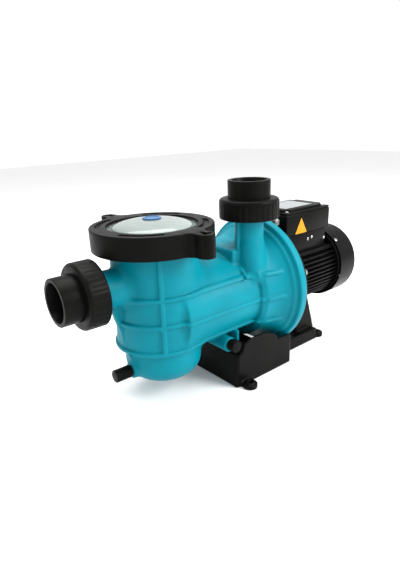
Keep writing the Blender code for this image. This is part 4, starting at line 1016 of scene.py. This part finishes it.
def base_shape(points):
    """Cradle, rails, saddle and feet, hollow below, with a deck inside the cradle."""
    cradle = plate(points, CRADLE, CRADLE_HALF_WIDTH, 2)
    rails = slab(points, (78, -RAIL_HALF_WIDTH, 0), (214, RAIL_HALF_WIDTH, RAIL_TOP_Z), 1.5)
    saddle = plate(points, SADDLE, SADDLE_HALF_WIDTH, 1.5)
    total = soft_min(soft_min(cradle, rails, 3), saddle, 3)
    for x, y in FEET:
        foot = rod(points, (x, y, 0), (x, y, 9), 14, 1.5)
        root = rod(points, (x * 0.96, y * 0.9, 0), (x * 0.96, y * 0.9, 9), 14, 1.5)
        boss = rod(points, (x, y, 0), (x, y, 12), 9.5, 1.5)
        total = soft_min(total, soft_min(soft_min(foot, root, 2), boss, 2), 5)
    total = soft_max(total, -points[..., 2], 0.5)
    hollows = [plate(points, CRADLE_HOLLOW, CRADLE_HALF_WIDTH - BASE_WALL, 1),
               slab(points, (69.7, -68, -20), (164, 68, 32), 1),
               plate(points, SADDLE_HOLLOW, SADDLE_HALF_WIDTH - BASE_WALL, 1),
               rod(points, (6, 0, SHAFT_Z), (76, 0, SHAFT_Z), DRUM_RADIUS + 6.5, 0.5),
               oval(points, TUNNEL_HALF_WIDTH + 3, TUNNEL_HALF_HEIGHT + 3, -100, 20, 0.5),
               rod(points, (48, 0, SHAFT_Z), (122, 0, SHAFT_Z), FLANGE_RADIUS + 1, 0.5),
               rod(points, (110, 0, SHAFT_Z), (300, 0, SHAFT_Z), FIN_RADIUS + 2, 0.5)]
    for x, y in FEET:
        hole_x = x + (1 if x > 0 else 0)
        hole_y = y + math.copysign(1, y)
        hollows.append(rod(points, (hole_x, hole_y, -9), (hole_x, hole_y, 30), 4.5, 0.3))
    deck = slab(points, (-57, -101, 36), (52, 101, 40), 0.5)
    return soft_min(hollowed(total, hollows, 1.0), deck, 1.5)


def pump_base():
    piece = skin("base_moulding", base_shape, (-76, -130, -2), (246, 130, 112), 2.0)
    return fit(piece, "pump", "black_plastic", "pump_base")


# ---------------------------------------------------------- inner CAD nodes

def keep_inner_nodes():
    """Nodes that stay as the CAD made them get the finished materials."""
    slots = {part["node"]: part["material_slot"] for part in frame["record"]["subparts"]}
    for name, piece in frame["nodes"].items():
        if piece.hide_render:
            continue
        piece.data.shade_smooth()
        piece.data.set_sharp_from_angle(angle=math.radians(38))
        for holder in piece.material_slots:
            holder.link = "OBJECT"
            holder.material = MATERIALS[slots[name]]


# ------------------------------------------------------------------- studio

def camera():
    """Camera at the eye point, looking down the pump from its suction end."""
    yaw = math.radians(51.2)
    pitch = math.radians(-19.4)
    roll = math.radians(-2.2)
    forwards = Vector((math.cos(pitch) * math.cos(yaw), math.cos(pitch) * math.sin(yaw), math.sin(pitch)))
    right = forwards.cross(Vector((0, 0, 1))).normalized()
    up = right.cross(forwards)
    level = right * math.cos(roll) + up * math.sin(roll)
    top = -right * math.sin(roll) + up * math.cos(roll)
    turn = Matrix((level, top, -forwards)).transposed()
    data = bpy.data.cameras.new("camera")
    data.lens = 28.72
    data.sensor_width = 36
    data.clip_start = 0.01
    eye = bpy.data.objects.new("camera", data)
    eye.matrix_world = Matrix.Translation((-0.5746, -0.6408, 0.4686)) @ turn.to_4x4()
    bpy.context.scene.collection.objects.link(eye)
    bpy.context.scene.camera = eye


def lamp(name, where, target, size, power):
    data = bpy.data.lights.new(name, "AREA")
    data.shape = "RECTANGLE"
    data.size, data.size_y = size
    data.energy = power
    thing = bpy.data.objects.new(name, data)
    thing.location = where
    thing.rotation_euler = (Vector(target) - Vector(where)).to_track_quat("-Z", "Y").to_euler()
    bpy.context.scene.collection.objects.link(thing)


def studio():
    """White floor and surroundings with three large soft lights."""
    shape = bmesh.new()
    bmesh.ops.create_grid(shape, x_segments=1, y_segments=1, size=6.0)
    floor = finish_mesh("floor", shape)
    made, tree, shader, where = surface("floor_paper", (0.86, 0.86, 0.86), 0.7)
    tint(tree, noise(tree, where, 3.0), shader, (0.85, 0.85, 0.85), (0.87, 0.87, 0.87))
    floor.data.materials.append(made)
    world = bpy.data.worlds.new("studio")
    world.use_nodes = True
    world.node_tree.nodes["Background"].inputs["Color"].default_value = (1, 1, 1, 1)
    world.node_tree.nodes["Background"].inputs["Strength"].default_value = 1.02
    bpy.context.scene.world = world
    bpy.context.scene.view_settings.view_transform = "Standard"
    middle = (0, 0, 0.17)
    lamp("overhead", (0.1, 0.3, 1.9), middle, (1.6, 1.6), 52)
    lamp("front", (0.9, -1.5, 1.2), middle, (1.0, 1.0), 50)
    lamp("left", (-1.7, 0.2, 0.9), middle, (1.0, 1.0), 5)


# ------------------------------------------------------------------ assembly

def main():
    camera()
    studio()
    pump_body()
    lock_ring()
    pump_base()
    strainer_lid()
    lid_badge()
    basket()
    union("suction", (SUCTION_RIM_X, 0, SUCTION_Z), TOWARDS_MOTOR, "suction_tail_body", "suction_nut_body")
    union("discharge", (DISCHARGE_X, DISCHARGE_Y, DISCHARGE_TOP_Z), DOWN, "discharge_tail_body",
          "discharge_nut_body")
    drain_plug("pot_drain", POT_DRAIN, TOWARDS_SUCTION, "pot_drain_plug_body", POT_DRAIN_HEAD)
    drain_plug("tunnel_drain", TUNNEL_DRAIN, FRONT_SIDE, "tunnel_drain_plug_body", TUNNEL_DRAIN_HEAD)
    seal_plate_and_adaptor()
    flange_bolts()
    motor_frame()
    foot_screws()
    fan_cover()
    terminal_box()
    yellow_triangle()
    cable_gland()
    keep_inner_nodes()


main()
